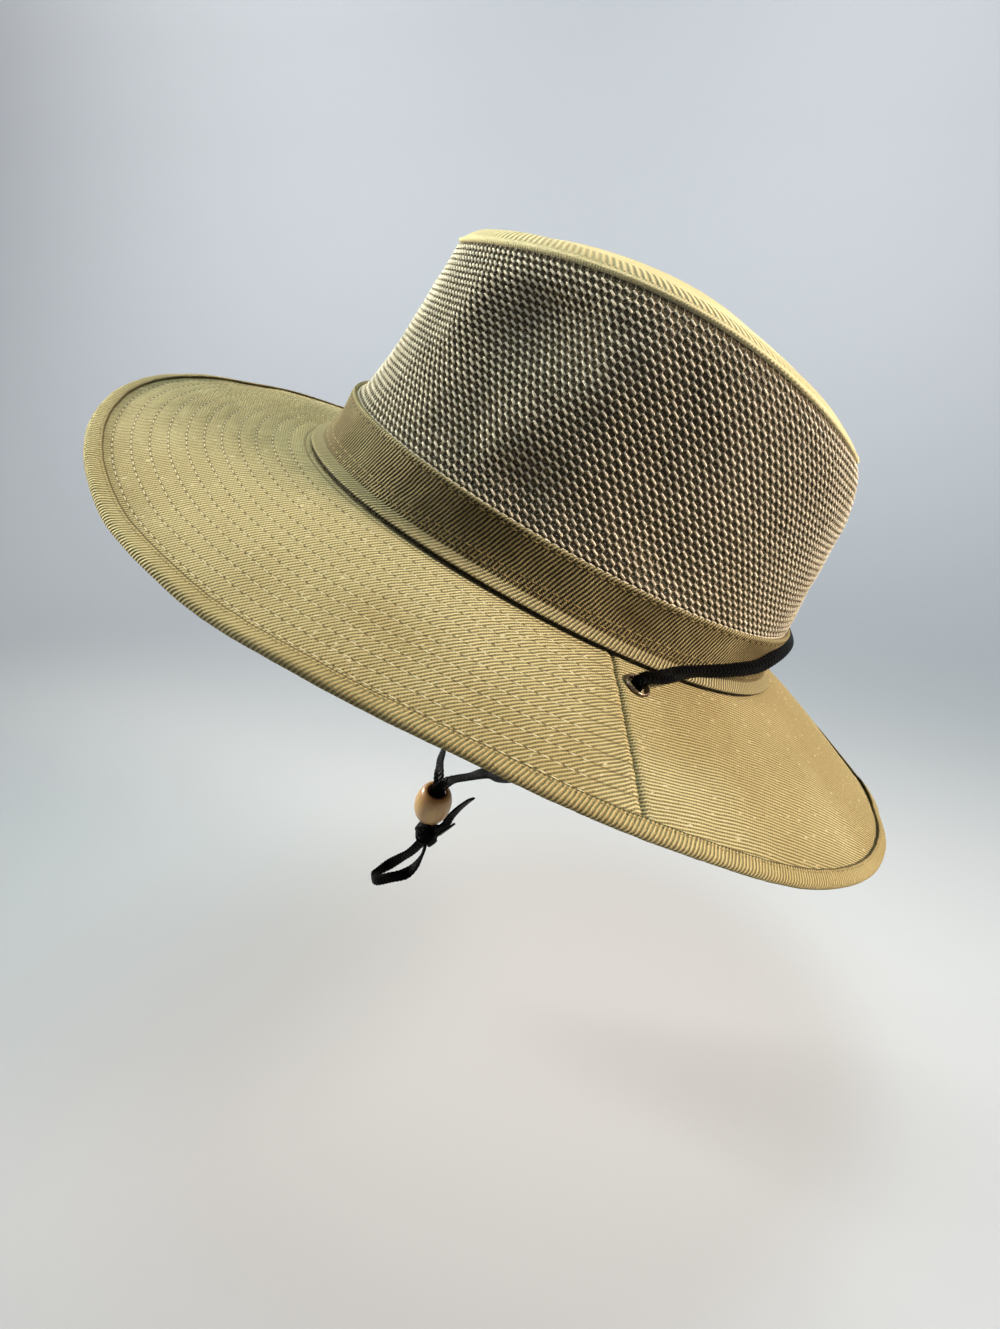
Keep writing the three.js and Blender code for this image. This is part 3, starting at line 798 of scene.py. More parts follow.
def twill_finish(name, slant):
    """Cotton twill: slanting ribs of spun thread with painted shade in the lines between them, pale
    flecks where the fibre catches the light, thick pale threads, slight fading, dark specks, and
    painted shade in the grooves of the stitch rows."""
    finish = Finish(name, Specular_IOR_Level=CLOTH_GLOSS)
    x, y = finish.over_cloth()
    across = x * math.cos(slant) + y * math.sin(slant)
    along = y * math.cos(slant) - x * math.sin(slant)
    wander = finish.noise(90.0) * 0.0006
    ribs = (across + wander).waves(TWILL_PITCH)
    thread = (along + across * 0.6).waves(TWILL_THREAD)
    fading = finish.patches(14.0, 0.3, 0.7)
    fleck = finish.patches(1300.0, 0.42, 0.66)
    speck = finish.patches(500.0, 0.66, 0.74, detail=1.0)
    strewn = finish.node("ShaderNodeCombineXYZ", {}, {"X": across, "Y": along * 0.3})
    slub = finish.patches(900.0, 0.68, 0.74, detail=1.0, place=strewn)
    # The grooves of the stitch rows, which are painted with shade.
    row = finish.over_cloth("stitch_rows")[0]
    groove = 1 - (row.wrapped(1.0) - 0.5).size().step(0.04, 0.1)
    colour = finish.mix(fading, KHAKI, KHAKI_PALE)
    # Painted shade in the lines between the ribs.
    colour = finish.mix((1 - ribs).step(0.05, 0.95) * (1.0 - 0.3 * thread), colour, KHAKI_SHADE_AND_SPECK)
    colour = finish.mix(fleck * 0.15, colour, KHAKI_PALE)
    colour = finish.mix(slub * 0.6, colour, SLUB)
    # Dark specks of the cloth, and painted shade along the grooves of the stitch rows.
    colour = finish.mix(speck * 0.2 + groove * 0.5, colour, KHAKI_SHADE_AND_SPECK)
    height = ribs * 0.8 + thread * 0.15 + fleck * 0.1
    return finish.surface(
        Base_Color=colour, Roughness=0.94 - fleck * 0.1, Normal=finish.bump(height, 0.0006),
    )


LEFT_SEAM = (SEAM_AT_HEM, SEAM_AT_EDGE)
RIGHT_SEAM = (-SEAM_AT_HEM, -SEAM_AT_EDGE)
RIGHT_SEAM_FROM_BACK = (360 - SEAM_AT_HEM, 360 - SEAM_AT_EDGE)
front = brim_panel(RIGHT_SEAM, LEFT_SEAM, True, *BRIM_FRONT_GRID)
back = brim_panel(LEFT_SEAM, RIGHT_SEAM_FROM_BACK, False, *BRIM_BACK_GRID)
front_twill = twill_finish("front_twill", FRONT_SLANT)
back_twill = twill_finish("back_twill", BACK_SLANT)
for name, panel, twill in (("brim_front", front, front_twill), ("brim_back", back, back_twill)):
    mesh = mesh_of(name + "_cloth", facing_up(panel))
    cloth = finished(name + "_cloth", mesh, twill, "brim_cloth", name)
    thickened(cloth, BRIM_THICKNESS - 2 * BRIM_SINK)


# The stitching: rows of cotton stitches, each a small rounded bar that is pulled into the cloth
# beside a small dark disc, painted shade in the hole of its needle. It quilts the front of the brim
# and holds the tape and band.

STITCH_PITCH = 0.0043
STITCH_LENGTH = 0.0032
STITCH_WIDTH = 0.0006
STITCH_FLAT = 0.8
STITCH_SINK = 0.00008
NEEDLE_HOLE = 0.0006
HOLE_LIFT = 0.3
QUILT_END = SEAM_AT_HEM - 5
SEW_STEP = math.radians(0.5)


def thread_finish(name, dark, light):
    finish = Finish(name, Roughness=0.7, Specular_IOR_Level=0.2)
    return finish.surface(Base_Color=finish.mix(finish.noise(2500.0, 1.0), dark, light))


PALE_THREAD = thread_finish("pale_thread", (0.6, 0.52, 0.28), (0.86, 0.79, 0.52))
GOLD_THREAD = thread_finish("gold_thread", (0.24, 0.175, 0.065), (0.4, 0.3, 0.12))
# Painted shade: the dark discs that stand for the needle holes.
HOLE_SHADE = thread_finish("needle_hole_shade", (0.035, 0.025, 0.008), (0.09, 0.065, 0.025))


def stitch_mesh():
    """One stitch along X, with a dark disc behind it, painted shade in the hole of its needle."""
    bm = bmesh.new()
    bmesh.ops.create_uvsphere(bm, u_segments=6, v_segments=4, radius=0.5)
    bmesh.ops.rotate(bm, verts=bm.verts, matrix=Matrix.Rotation(math.pi / 2, 3, "Y"))
    size = (STITCH_LENGTH, STITCH_WIDTH, STITCH_WIDTH * STITCH_FLAT)
    bmesh.ops.scale(bm, verts=bm.verts, vec=size)
    hole = bmesh.ops.create_circle(bm, cap_ends=True, segments=6, radius=NEEDLE_HOLE / 2)["verts"]
    bmesh.ops.translate(bm, verts=hole, vec=(-STITCH_PITCH / 2, 0, STITCH_WIDTH * HOLE_LIFT))
    for face in hole[0].link_faces:
        face.material_index = 1
    return mesh_of("stitch", bm)


def sew(bm, line, start=0, end=360):
    """Adds one row of stitches from one angle to another, given in degrees, along a rule that
    gives the level place at each angle and the way that the cloth faces there."""
    stitch = stitch_mesh()
    count = int(math.radians(end - start) / SEW_STEP)
    spots = [line(math.radians(start) + k * SEW_STEP) for k in range(count + 1)]
    run = 0.0
    for (spot, face), (following, _) in zip(spots, spots[1:]):
        gap = (following - spot).length
        ahead = (following - spot).normalized()
        side = face.cross(ahead).normalized()
        turn = Matrix((ahead, side, ahead.cross(side))).transposed().to_4x4()
        while run < gap:
            place = TILTED @ Matrix.Translation(spot + ahead * run) @ turn
            stitch.transform(place)
            bm.from_mesh(stitch)
            stitch.transform(place.inverted())
            run += STITCH_PITCH
        run -= gap


def brim_line(out, rise):
    """The place and facing of a row round the brim, by rules for how far out and how high it is."""

    def at(angle):
        far = out(angle)
        point = brim_point(angle, far, rise(angle, far) - STITCH_SINK)
        return point, Vector((0, 0, 1)) + outward(angle) * math.sin(brim_droop(angle))

    return at


def sewn(name, bm, thread, slot):
    """Makes a piece of stitches, with the painted shade of their needle holes in a second material."""
    mesh = mesh_of(name, bm)
    finished(name, mesh, thread, slot)
    mesh.materials.append(HOLE_SHADE)


quilting = bmesh.new()
for row in range(int((QUILT_LAST - QUILT_FIRST) / QUILT_SPACING) + 1):
    quilt_row = brim_line(
        lambda angle: QUILT_LAST - row * QUILT_SPACING,
        lambda angle, far: cloth_rise(angle, far, True),
    )
    sew(quilting, quilt_row, -QUILT_END, QUILT_END)
sewn("quilt_stitches", quilting, PALE_THREAD, "brim_cloth")


# The binding: a ribbed cotton tape folded over the edge of the brim and sewn through both legs.
# Its two ends lap behind, where it is double.

BINDING_REACH = 0.006
BINDING_CLOTH = 0.0006
BINDING_SEWN = 0.0047
BINDING_RIB = 0.00155
BINDING_MAP = (1.07, 0.0135)
BINDING_GRID = (540, 14)
BINDING_UNEVEN = (0.00025, 0.006, 3)
BINDING_LUMPS = (0.00015, 0.004, 5)
LAP_MIDDLE = 181.5
LAP_HALF = 4.5
LAP_OUT = 0.0005
TAPE_KHAKI = (0.5, 0.39, 0.16)
TAPE_PALE = (0.62, 0.52, 0.24)
TAPE_GAP_SHADE = (0.13, 0.09, 0.03)
TAPE_HEM_SHADOW = (0.06, 0.042, 0.016)


def binding_section(share):
    """A point of the tape's outside, from its upper hem round the edge to its lower hem."""
    half = (BRIM_THICKNESS + 2 * GAP + 2 * BINDING_CLOTH) / 2
    middle = GAP + BINDING_CLOTH - half
    leg = BINDING_REACH - half
    length = 2 * leg + math.pi * half
    run = share * length
    if run < leg:
        return -BINDING_REACH + run, middle + half
    if run > leg + math.pi * half:
        return -half - (run - leg - math.pi * half), middle - half
    turn = (run - leg) / half
    return -half + half * math.sin(turn), middle + half * math.cos(turn)


def tape_rise(angle, out):
    """How the tape follows the larger wrinkles of the brim."""
    return wrinkle(brim_point(angle, out, 0), BRIM_FOLDS)


def binding():
    def place(along, across):
        angle = 2 * math.pi * along
        out, up = binding_section(across)
        off = abs(math.degrees(angle) - LAP_MIDDLE)
        lap = math.exp(-((off / LAP_HALF) ** 6)) if off < 2 * LAP_HALF else 0
        flat = brim_point(angle, brim_width(angle), 0)
        away = 1 if up > -BRIM_THICKNESS / 2 else -1
        out += wrinkle(flat, BINDING_UNEVEN) * (1 - across) + LAP_OUT * lap
        up += (BINDING_CLOTH * lap + wrinkle(flat, BINDING_LUMPS)) * away
        far = brim_width(angle) + out
        return TILTED @ brim_point(angle, far, up + tape_rise(angle, far))

    def mapped(along, across):
        return along * BINDING_MAP[0], across * BINDING_MAP[1]

    return closed(sheet_of(*BINDING_GRID, place, mapped))


def ribbed_tape_finish():
    """Ribbed tape: cords across the tape, with painted shade between them and a painted shadow along
    its upper hem.
    """
    finish = Finish("ribbed_tape", Specular_IOR_Level=CLOTH_GLOSS)
    along, across = finish.over_cloth()
    wander = finish.noise(200.0) * 0.0008
    ribs = (along + across * 0.45 + wander).waves(BINDING_RIB)
    fleck = finish.patches(1500.0, 0.35, 0.75)
    fading = finish.patches(12.0, 0.3, 0.7)
    hem = 1 - (across / BINDING_CLOTH).step(0.4, 1.2)
    colour = finish.mix(fading, TAPE_KHAKI, TAPE_PALE)
    # Painted shade between the cords, and a painted shadow along the upper hem.
    colour = finish.mix((1 - ribs) * 0.85, colour, TAPE_GAP_SHADE)
    colour = finish.mix(fleck * 0.25, colour, KHAKI_PALE)
    colour = finish.mix(hem * 0.8, colour, TAPE_HEM_SHADOW)
    return finish.surface(
        Base_Color=colour, Roughness=0.9, Normal=finish.bump(ribs + fleck * 0.2, 0.0006),
    )


tape_mesh = mesh_of("binding_tape", binding())
tape = finished("binding_tape", tape_mesh, ribbed_tape_finish(), "tape_cloth", "brim_binding")
thickened(tape, BINDING_CLOTH)
binding_thread = bmesh.new()
sew(binding_thread, brim_line(
    lambda angle: brim_width(angle) - BINDING_SEWN,
    lambda angle, far: GAP + BINDING_CLOTH + tape_rise(angle, far),
))
sewn("binding_stitches", binding_thread, GOLD_THREAD, "tape_cloth")


# The hat band: heavy ribbed cotton cut on the slant, sewn up the crown's foot. Its hem spreads
# over the brim like a small skirt under two rows of stitches, and one row holds its folded top.

BAND_TOP = dict(
    front=0.1036, side=0.0864, egg=0.04, shift=0.0014, height=0.0242, rise=-0.0003, side_rise=0.0008,
)
BAND_CLOTH = 0.0017
BAND_INSET = 0.0059
BAND_RIB = 0.00145
BAND_SLANT = math.radians(76)
BAND_WALL = 0.32
BAND_FOLD = 0.6
BAND_LIP = 0.203
BAND_TOP_ROW = 0.575
BAND_HEM_ROWS = (0.345, 0.385)
BAND_MAP_LENGTH = 0.61
BAND_MAP_HEIGHT = 0.085
BAND_GRID = (420, 100)
BAND_HOLLOW = 0.0006
BAND_PUCKERS = (0.0014, 0.022, 2)
BAND_CREASES = (0.0003, 0.006, 4)
# Soft patches of uneven tone and painted shade; painted shade in the gaps, under the hem and along the
# upper stitches.
BAND_TONE_AND_SHADE = (0.29, 0.215, 0.085)
BAND_PALE = (0.52, 0.42, 0.19)
BAND_GAP_SHADE = (0.016, 0.01, 0.003)
BAND_UNDER_SHADE = (0.01, 0.007, 0.002)
BAND_STITCH_SHADE = (0.03, 0.02, 0.007)
# The band's section, from its tuck over the hem and up the outside to its top and down the inside.
# Each line has the share of the way, the oval that it follows, and how far out and up it lies.
BAND_SECTION = [
    (0.00, "hem", -0.0059, 0.0003),
    (0.06, "hem", -0.0042, 0.0003),
    (0.15, "hem", -0.0014, 0.0006),
    (0.17, "hem", -0.0004, 0.0005),
    (0.185, "hem", 0.0001, 0.0010),
    (0.205, "hem", 0.0001, 0.0018),
    (0.225, "hem", -0.0005, 0.0025),
    (0.24, "hem", -0.0014, 0.0028),
    (0.32, "hem", -0.0042, 0.0044),
    (0.60, "top", 0.0, -0.0004),
    (0.62, "top", -0.0003, 0.0),
    (0.65, "top", -0.0014, 0.0),
    (0.67, "top", -0.0017, -0.0004),
    (1.00, "hem", -0.0059, 0.0003),
]


def band_station(angle, share):
    """A point of the band's section: its place, and how much of its outer wall it is."""
    k = max(i for i, line in enumerate(BAND_SECTION[:-1]) if line[0] <= share + 1e-9)
    first, last = BAND_SECTION[k], BAND_SECTION[k + 1]
    ends = []
    for _, oval, out, up in (first, last):
        rim = oval_point(HEM if oval == "hem" else BAND_TOP, angle)
        ends.append(rim + outward(angle) * out + Vector((0, 0, up)))
    part = (share - first[0]) / (last[0] - first[0])
    wall = math.sin(math.pi * part) if first[0] == BAND_WALL else 0
    return ends[0].lerp(ends[1], part), wall


def band_cloth(angle, share):
    """A point of the band, with the puckers of its outer wall."""
    point, wall = band_station(angle, share)
    pucker = wrinkle(point, BAND_PUCKERS) + wrinkle(point, BAND_CREASES)
    return point + outward(angle) * wall * (pucker - BAND_HOLLOW)


def hat_band():
    def place(along, across):
        return TILTED @ band_cloth(2 * math.pi * along, across)

    def mapped(along, across):
        return along * BAND_MAP_LENGTH, across * BAND_MAP_HEIGHT

    return closed(sheet_of(*BAND_GRID, place, mapped))


def slant_rib_finish():
    """Heavy ribbed cotton: ribs that climb to the right with painted shade in the gaps, soft patches
    of uneven tone and painted shade, a painted highlight on the hem and on the folded top, and painted
    shade under the hem and along the upper stitches."""
    finish = Finish("slant_rib", Specular_IOR_Level=CLOTH_GLOSS)
    along, across = finish.over_cloth()
    wander = finish.noise(160.0) * 0.0009
    ribs = (across * math.cos(BAND_SLANT) - along * math.sin(BAND_SLANT) + wander).waves(BAND_RIB)
    thread = (along + across).waves(TWILL_THREAD)
    fleck = finish.patches(1500.0, 0.35, 0.75)
    patch = finish.patches(38.0, 0.35, 0.7)
    share = across / BAND_MAP_HEIGHT
    hem = 1 - share.step(0.96 * BAND_WALL, 1.02 * BAND_WALL)
    fold = share.step(0.98 * BAND_FOLD, BAND_FOLD)
    # Painted shade under the hem.
    under = 1 - share.step(0.94 * BAND_LIP, BAND_LIP)
    # Painted shade along the groove of the upper stitches.
    stitch_shade = 1 - (across - BAND_TOP_ROW * BAND_MAP_HEIGHT).size().step(0.0002, 0.0006)
    # Painted highlight: the hem and the folded top are paler where they face the light.
    pale = (hem + fold).clamped()
    # Painted shade in the gaps between the ribs, less on the painted highlight.
    gaps = (1 - ribs).step(0.1, 0.8) * (1 - pale * 0.35)
    # Soft patches of uneven tone and painted shade.
    colour = finish.mix(patch, BAND_TONE_AND_SHADE, BAND_PALE)
    colour = finish.mix(pale * 0.7, colour, KHAKI_PALE)
    colour = finish.mix(gaps, colour, BAND_GAP_SHADE)
    colour = finish.mix(under, colour, BAND_UNDER_SHADE)
    colour = finish.mix(stitch_shade, colour, BAND_STITCH_SHADE)
    colour = finish.mix(fleck * 0.12, colour, KHAKI_PALE)
    height = ribs + thread * 0.2 + fleck * 0.2
    return finish.surface(
        Base_Color=colour, Roughness=0.9, Normal=finish.bump(height, 0.0008),
    )


band_mesh = mesh_of("hat_band_cloth", hat_band())
finished("hat_band_cloth", band_mesh, slant_rib_finish(), "band_cloth", "hat_band")


def band_line(share):
    """The place and facing of a row that runs round the band."""

    def at(angle):
        point = band_cloth(angle, share)
        upward = (band_cloth(angle, share + 0.01) - point).normalized()
        away = (outward(angle) - upward * outward(angle).dot(upward)).normalized()
        return point - away * STITCH_SINK, away

    return at


band_thread = bmesh.new()
for share in (BAND_TOP_ROW, *BAND_HEM_ROWS):
    sew(band_thread, band_line(share))
sewn("band_stitches", band_thread, GOLD_THREAD, "band_cloth")


# The crown's wall: a soft knitted net with long staggered holes. It is sewn between the band and
# the top, sags in shallow dents over both sides, and its inner side and the knit round its pores
# are painted dark as the shade inside the hat.

NET_CLOTH = 0.0012
NET_WRINKLES = (0.0006, 0.012, 9)
CROWN_SEAM = dict(front=0.0885, side=0.0617, pinch=0.22, shift=-0.0017)
CROWN_HEIGHT = (0.1008, -0.0019, -0.0093, 0.0003)
# Each soft dent on both sides: its angle and its height, their reaches, and its depth.
DENT_FALLOFF = 1.5
DENTS = [
    (64, 0.72, 17, 0.32, 0.0085),
    (44, 0.7, 8, 0.36, -0.0025),
    (60, 0.22, 9, 0.22, 0.0025),
    (77, 0.12, 9, 0.18, 0.0022),
    (97, 0.6, 11, 0.32, 0.0015),
    (108, 0.18, 9, 0.22, 0.0022),
]
NET_COLUMNS = 186
NET_ROWS = 34
NET_LEAN = 0.18
NET_ZIGZAG = 1 / 6
NET_STRAND = 0.0002
NET_RISE = 0.00025
NET_PORE_EDGE = 0.00125
NET_PORE_SINK = -0.0003
NET_INNER_SIDE = -0.0007
NET_FOOT = 0.585
NET_FROM = -0.08
NET_TO = 0.996
NET_TALL = 0.091
NET_KNOT = (0.0036, 0.00105, 0.0008)
NET_KNOT_RISE = 0.00025


def crown_height(forward):
    mean, first, second, third = CROWN_HEIGHT
    height = mean + first * forward + second * (2 * forward ** 2 - 1)
    return height + third * forward * (4 * forward ** 2 - 3)


def crown_seam_point(angle):
    forward = math.cos(angle)
    return Vector((
        CROWN_SEAM["side"] * math.sin(angle) * (1 - CROWN_SEAM["pinch"] * forward),
        CROWN_SEAM["shift"] - CROWN_SEAM["front"] * forward,
        crown_height(forward),
    ))


def dent_depth(angle, height):
    """How far the soft dents press the net in; they fade out next to the band and the seam."""
    degrees = from_front(angle)
    depth = 0
    for at_angle, at_height, half_angle, half_height, deep in DENTS:
        across = (degrees - at_angle) / half_angle
        upward = (height - at_height) / half_height
        depth += deep * math.exp(-DENT_FALLOFF * (across * across + upward * upward))
    return depth * min(1, (1 - height) * 6) * min(1, 0.15 + height * 6)


def net_point(angle, height, inset):
    """A point of the net, from the band at height 0 to the crown seam at 1."""
    away = outward(angle)
    foot = oval_point(BAND_TOP, angle) - away * (BAND_CLOTH + GAP)
    if height < 0:
        root = oval_point(HEM, angle) - away * (BAND_INSET + GAP) + Vector((0, 0, GAP))
        return foot.lerp(root, -height) - away * inset
    seam = crown_seam_point(angle)
    front_share = ((1 + math.cos(angle)) / 2) ** 4
    over_side = (height + height ** 8) / 2
    share = over_side + (height ** 0.55 - over_side) * front_share
    point = foot.lerp(seam, share)
    point.z = foot.z + (seam.z - foot.z) * height
    return point - away * (inset + dent_depth(angle, height))


def on_net(turn, height, depth):
    """A point of the net's cloth, by its turn round the fabric, its height and its depth."""
    angle = turn - NET_LEAN * height
    flat = net_point(angle, NET_FROM + (NET_TO - NET_FROM) * height, NET_CLOTH / 2)
    soft = wrinkle(flat, NET_WRINKLES) * min(1, 8 * height, 8 * (1 - height))
    return TILTED @ (flat + outward(angle) * (soft + depth))


def honeycomb():
    """A brick pattern rolled into a ring, with its rows bent so that the bricks are hexagons."""
    bm = bmesh.new()
    roll = NET_FOOT / (2 * math.pi)
    bmesh.ops.create_grid(bm, x_segments=2 * NET_COLUMNS, y_segments=NET_ROWS, size=0.5)
    for point in bm.verts:
        turn = 2 * math.pi * (point.co.x + 0.5)
        point.co = (roll * math.cos(turn), roll * math.sin(turn), (point.co.y + 0.5) * NET_TALL)
    bmesh.ops.remove_doubles(bm, verts=bm.verts, dist=WELD)

    def cell_of(point):
        turn = math.atan2(point.y, point.x) % (2 * math.pi)
        return round(turn * NET_COLUMNS / math.pi), round(point.z * NET_ROWS / NET_TALL)

    uprights = []
    for edge in bm.edges:
        one, other = sorted(cell_of(end.co) for end in edge.verts)
        if one[1] != other[1] and (one[0] + one[1]) % 2:
            uprights.append(edge)
    bmesh.ops.dissolve_edges(bm, edges=uprights, use_verts=False)
    for point in bm.verts:
        column, row = cell_of(point.co)
        if 0 < row < NET_ROWS:
            point.co.z += (-1 if (column + row) % 2 else 1) * NET_TALL / NET_ROWS * NET_ZIGZAG
    return bm


def drawn_over(bm, depths):
    """Draws a ring of net over the crown, each point at the depth that is kept for it."""
    for point in bm.verts:
        turn = math.atan2(point.co.y, point.co.x)
        point.co = on_net(turn, point.co.z / NET_TALL, depths[point])
    return bm


def net_outside():
    """The outer side: thin raised threads round every cell, and looser knit around its pore, painted
    dark as shade.
    """
    bm = honeycomb()
    cells = list(bm.faces)
    depths = {point: NET_RISE for point in bm.verts}
    bmesh.ops.inset_individual(bm, faces=cells, thickness=NET_STRAND, use_even_offset=True)
    depths.update({point: 0 for point in bm.verts if point not in depths})
    threads = set(bm.faces) - set(cells)
    bmesh.ops.inset_individual(bm, faces=cells, thickness=NET_PORE_EDGE, use_even_offset=True)
    depths.update({point: NET_PORE_SINK for point in bm.verts if point not in depths})
    for face in bm.faces:
        # The looser knit round each pore takes the painted shade.
        face.material_index = 0 if face in threads else 1
    bmesh.ops.delete(bm, geom=cells, context="FACES_ONLY")
    return drawn_over(bm, depths)


def net_inside():
    """The inner side: flat knit around the same pores, painted dark as shade."""
    bm = honeycomb()
    cells = list(bm.faces)
    depths = {point: NET_INNER_SIDE for point in bm.verts}
    edge = NET_STRAND + NET_PORE_EDGE
    bmesh.ops.inset_individual(bm, faces=cells, thickness=edge, use_even_offset=True)
    depths.update({point: NET_PORE_SINK for point in bm.verts if point not in depths})
    bmesh.ops.delete(bm, geom=cells, context="FACES_ONLY")
    bmesh.ops.reverse_faces(bm, faces=bm.faces)
    return drawn_over(bm, depths)


def net_knots():
    """The long knots, painted paler than the threads as a highlight: one lies along one side of every
    cell, from high to low.
    """
    knot_bm = bmesh.new()
    bmesh.ops.create_uvsphere(knot_bm, u_segments=6, v_segments=3, radius=0.5)
    bmesh.ops.rotate(knot_bm, verts=knot_bm.verts, matrix=Matrix.Rotation(math.pi / 2, 3, "Y"))
    bmesh.ops.scale(knot_bm, verts=knot_bm.verts, vec=NET_KNOT)
    template = mesh_of("net_knot", knot_bm)
    whole = bmesh.new()
    step = math.pi / NET_COLUMNS
    bend = NET_ZIGZAG / NET_ROWS
    for row in range(1, NET_ROWS):
        for column in range(row % 2, 2 * NET_COLUMNS, 2):
            turn = (column + 0.5) * step
            height = row / NET_ROWS
            middle = on_net(turn, height, NET_KNOT_RISE)
            ahead = on_net(turn + step / 2, height - bend, NET_KNOT_RISE) - middle
            upward = on_net(turn, height + bend, NET_KNOT_RISE) - middle
            away = ahead.cross(upward).normalized()
            ahead.normalize()
            turned_to = Matrix((ahead, away.cross(ahead), away)).transposed().to_4x4()
            place = Matrix.Translation(middle) @ turned_to
            template.transform(place)
            whole.from_mesh(template)
            template.transform(place.inverted())
    return whole


def net_finish(name, dark, middle, light):
    """Knitted thread, a little fuzzy, with soft patches of two tones and pale flecks."""
    finish = Finish(name, Specular_IOR_Level=CLOTH_GLOSS)
    fleck = finish.patches(1300.0, 0.4, 0.7)
    patch = finish.patches(30.0, 0.35, 0.7)
    colour = finish.mix(fleck * 0.6, finish.mix(patch, dark, middle), light)
    return finish.surface(Base_Color=colour, Roughness=0.9, Normal=finish.bump(fleck, 0.0004))


NET_THREAD = net_finish("net_thread", (0.36, 0.3, 0.19), (0.46, 0.39, 0.26), (0.66, 0.59, 0.43))
# Painted highlight: the same yarn as the threads, paler on the raised knots.
NET_KNOT_HIGHLIGHT = net_finish("net_knot_highlight", (0.74, 0.65, 0.47), (0.84, 0.76, 0.57), (0.94, 0.89, 0.73))
# Painted shade: the knit round the pores, the net's inner side and the top's underside.
NET_PAINTED_SHADE = net_finish("net_painted_shade", (0.045, 0.035, 0.018), (0.08, 0.062, 0.034), (0.38, 0.31, 0.19))

net_mesh = mesh_of("crown_net_knit", net_outside())
finished("crown_net_knit", net_mesh, NET_THREAD, "net_cloth", "crown_net")
net_mesh.materials.append(NET_PAINTED_SHADE)
finished("net_knots", mesh_of("net_knots", net_knots()), NET_KNOT_HIGHLIGHT, "net_cloth", "crown_net")
finished("net_inside", mesh_of("net_inside", net_inside()), NET_PAINTED_SHADE, "net_cloth", "crown_net")


# The top of the crown: a panel of pale twill, domed a little. A folded strip with slanting ribs
# runs round its edge, with a shallow groove inside it and the stitched seam to the net outside.

# From the middle to the edge: the share of the way out, and the lift over the seam in millimetres.
CROWN_TOP = [
    (0, 7.7), (0.33, 7.1), (0.58, 5.9), (0.74, 4.7), (0.86, 3.9), (0.91, 4.3), (0.96, 3.1), (1.008, 1),
]
MILLIMETRES = 1000
CROWN_TOP_LEAN = 0.5
CROWN_TOP_CLOTH = 0.0015
CROWN_TOP_GRID = (300, 60)
CROWN_TOP_CREASES = (0.0008, 0.025, 11)
RIM_LIFT = 0.001
SEAM_LENGTH = 0.48
STRIP_RIB = 0.0024
STRIP_START = (0.865, 0.875)
STRIP_END = (0.975, 0.985)
TOP_KHAKI = (0.62, 0.53, 0.26)
# Painted shade in the twill's valleys and between the ribs of the strip.
TOP_FADED = (0.72, 0.64, 0.36)
TOP_VALLEY_SHADE = (0.42, 0.33, 0.13)
TOP_GAP_SHADE = (0.25, 0.18, 0.07)
TOP_FLECK = (0.85, 0.79, 0.52)


def top_lift(out):
    """The lift of the top over its seam, by the share of the way out from its middle."""
    route = [(*line, 0, 0, 0, 0) for line in CROWN_TOP]
    k = max(i for i, line in enumerate(CROWN_TOP[:-1]) if line[0] <= out + 1e-9)
    share = (out - CROWN_TOP[k][0]) / (CROWN_TOP[k + 1][0] - CROWN_TOP[k][0])
    return curve_point(route, k + min(share, 1))[1] / MILLIMETRES


def crown_top():
    rim = CROWN_TOP[-1][0]

    def at(along, across):
        angle = 2 * math.pi * along
        out = across ** 0.75 * rim
        point = Vector((0, CROWN_SEAM["shift"], 0)).lerp(crown_seam_point(angle), out)
        return angle, out, point

    def place(along, across):
        angle, out, point = at(along, across)
        forward = (CROWN_SEAM["shift"] - point.y) / CROWN_SEAM["front"]
        lift = top_lift(out)
        lean = max(0, lift - RIM_LIFT) * CROWN_TOP_LEAN * forward
        point.z = crown_height(forward) + lift + lean
        point.z += wrinkle(point, CROWN_TOP_CREASES) * min(1, 4 * (1 - across))
        return TILTED @ point

    def mapped(along, across):
        _, _, point = at(along, across)
        return point.x, point.y

    def seamed(along, across):
        return along * SEAM_LENGTH, at(along, across)[1]

    return facing_up(closed(sheet_of(*CROWN_TOP_GRID, place, mapped, seam=seamed)))


def top_finish():
    """Pale twill, faded by the sun, with a strip of slanting ribs round its edge, and painted shade in
    the twill's valleys and between the ribs.
    """
    finish = Finish("pale_twill", Specular_IOR_Level=CLOTH_GLOSS)
    x, y = finish.over_cloth()
    along, out = finish.over_cloth("seam")
    twill = (y * 0.8 + x * 0.6).waves(TWILL_THREAD)
    ribs = (along - out * 0.06).waves(STRIP_RIB)
    strip = out.step(*STRIP_START) * (1 - out.step(*STRIP_END))
    height = twill * (1 - strip) * 0.5 + ribs * strip
    fleck = finish.patches(1500.0, 0.35, 0.75)
    fading = finish.patches(16.0, 0.3, 0.7)
    colour = finish.mix(fading, TOP_KHAKI, TOP_FADED)
    # Painted shade in the valleys of the twill and between the ribs.
    colour = finish.mix((1 - height) * 0.3, colour, TOP_VALLEY_SHADE)
    colour = finish.mix((1 - ribs) * strip * 0.6, colour, TOP_GAP_SHADE)
    colour = finish.mix(fleck * 0.3, colour, TOP_FLECK)
    return finish.surface(
        Base_Color=colour, Roughness=0.9, Normal=finish.bump(height + fleck * 0.2, 0.0004),
    )


top_mesh = mesh_of("crown_top_cloth", crown_top())
top_piece = finished("crown_top_cloth", top_mesh, top_finish(), "top_cloth", "crown_top")
# The top's underside takes the net's painted shade, dark as shade.
top_mesh.materials.append(NET_PAINTED_SHADE)
thickened(top_piece, CROWN_TOP_CLOTH, inner=1)


# The two eyelets: rolled rings of antique bronze, pressed through the back of the brim just behind
# the seams. The cord passes through them.

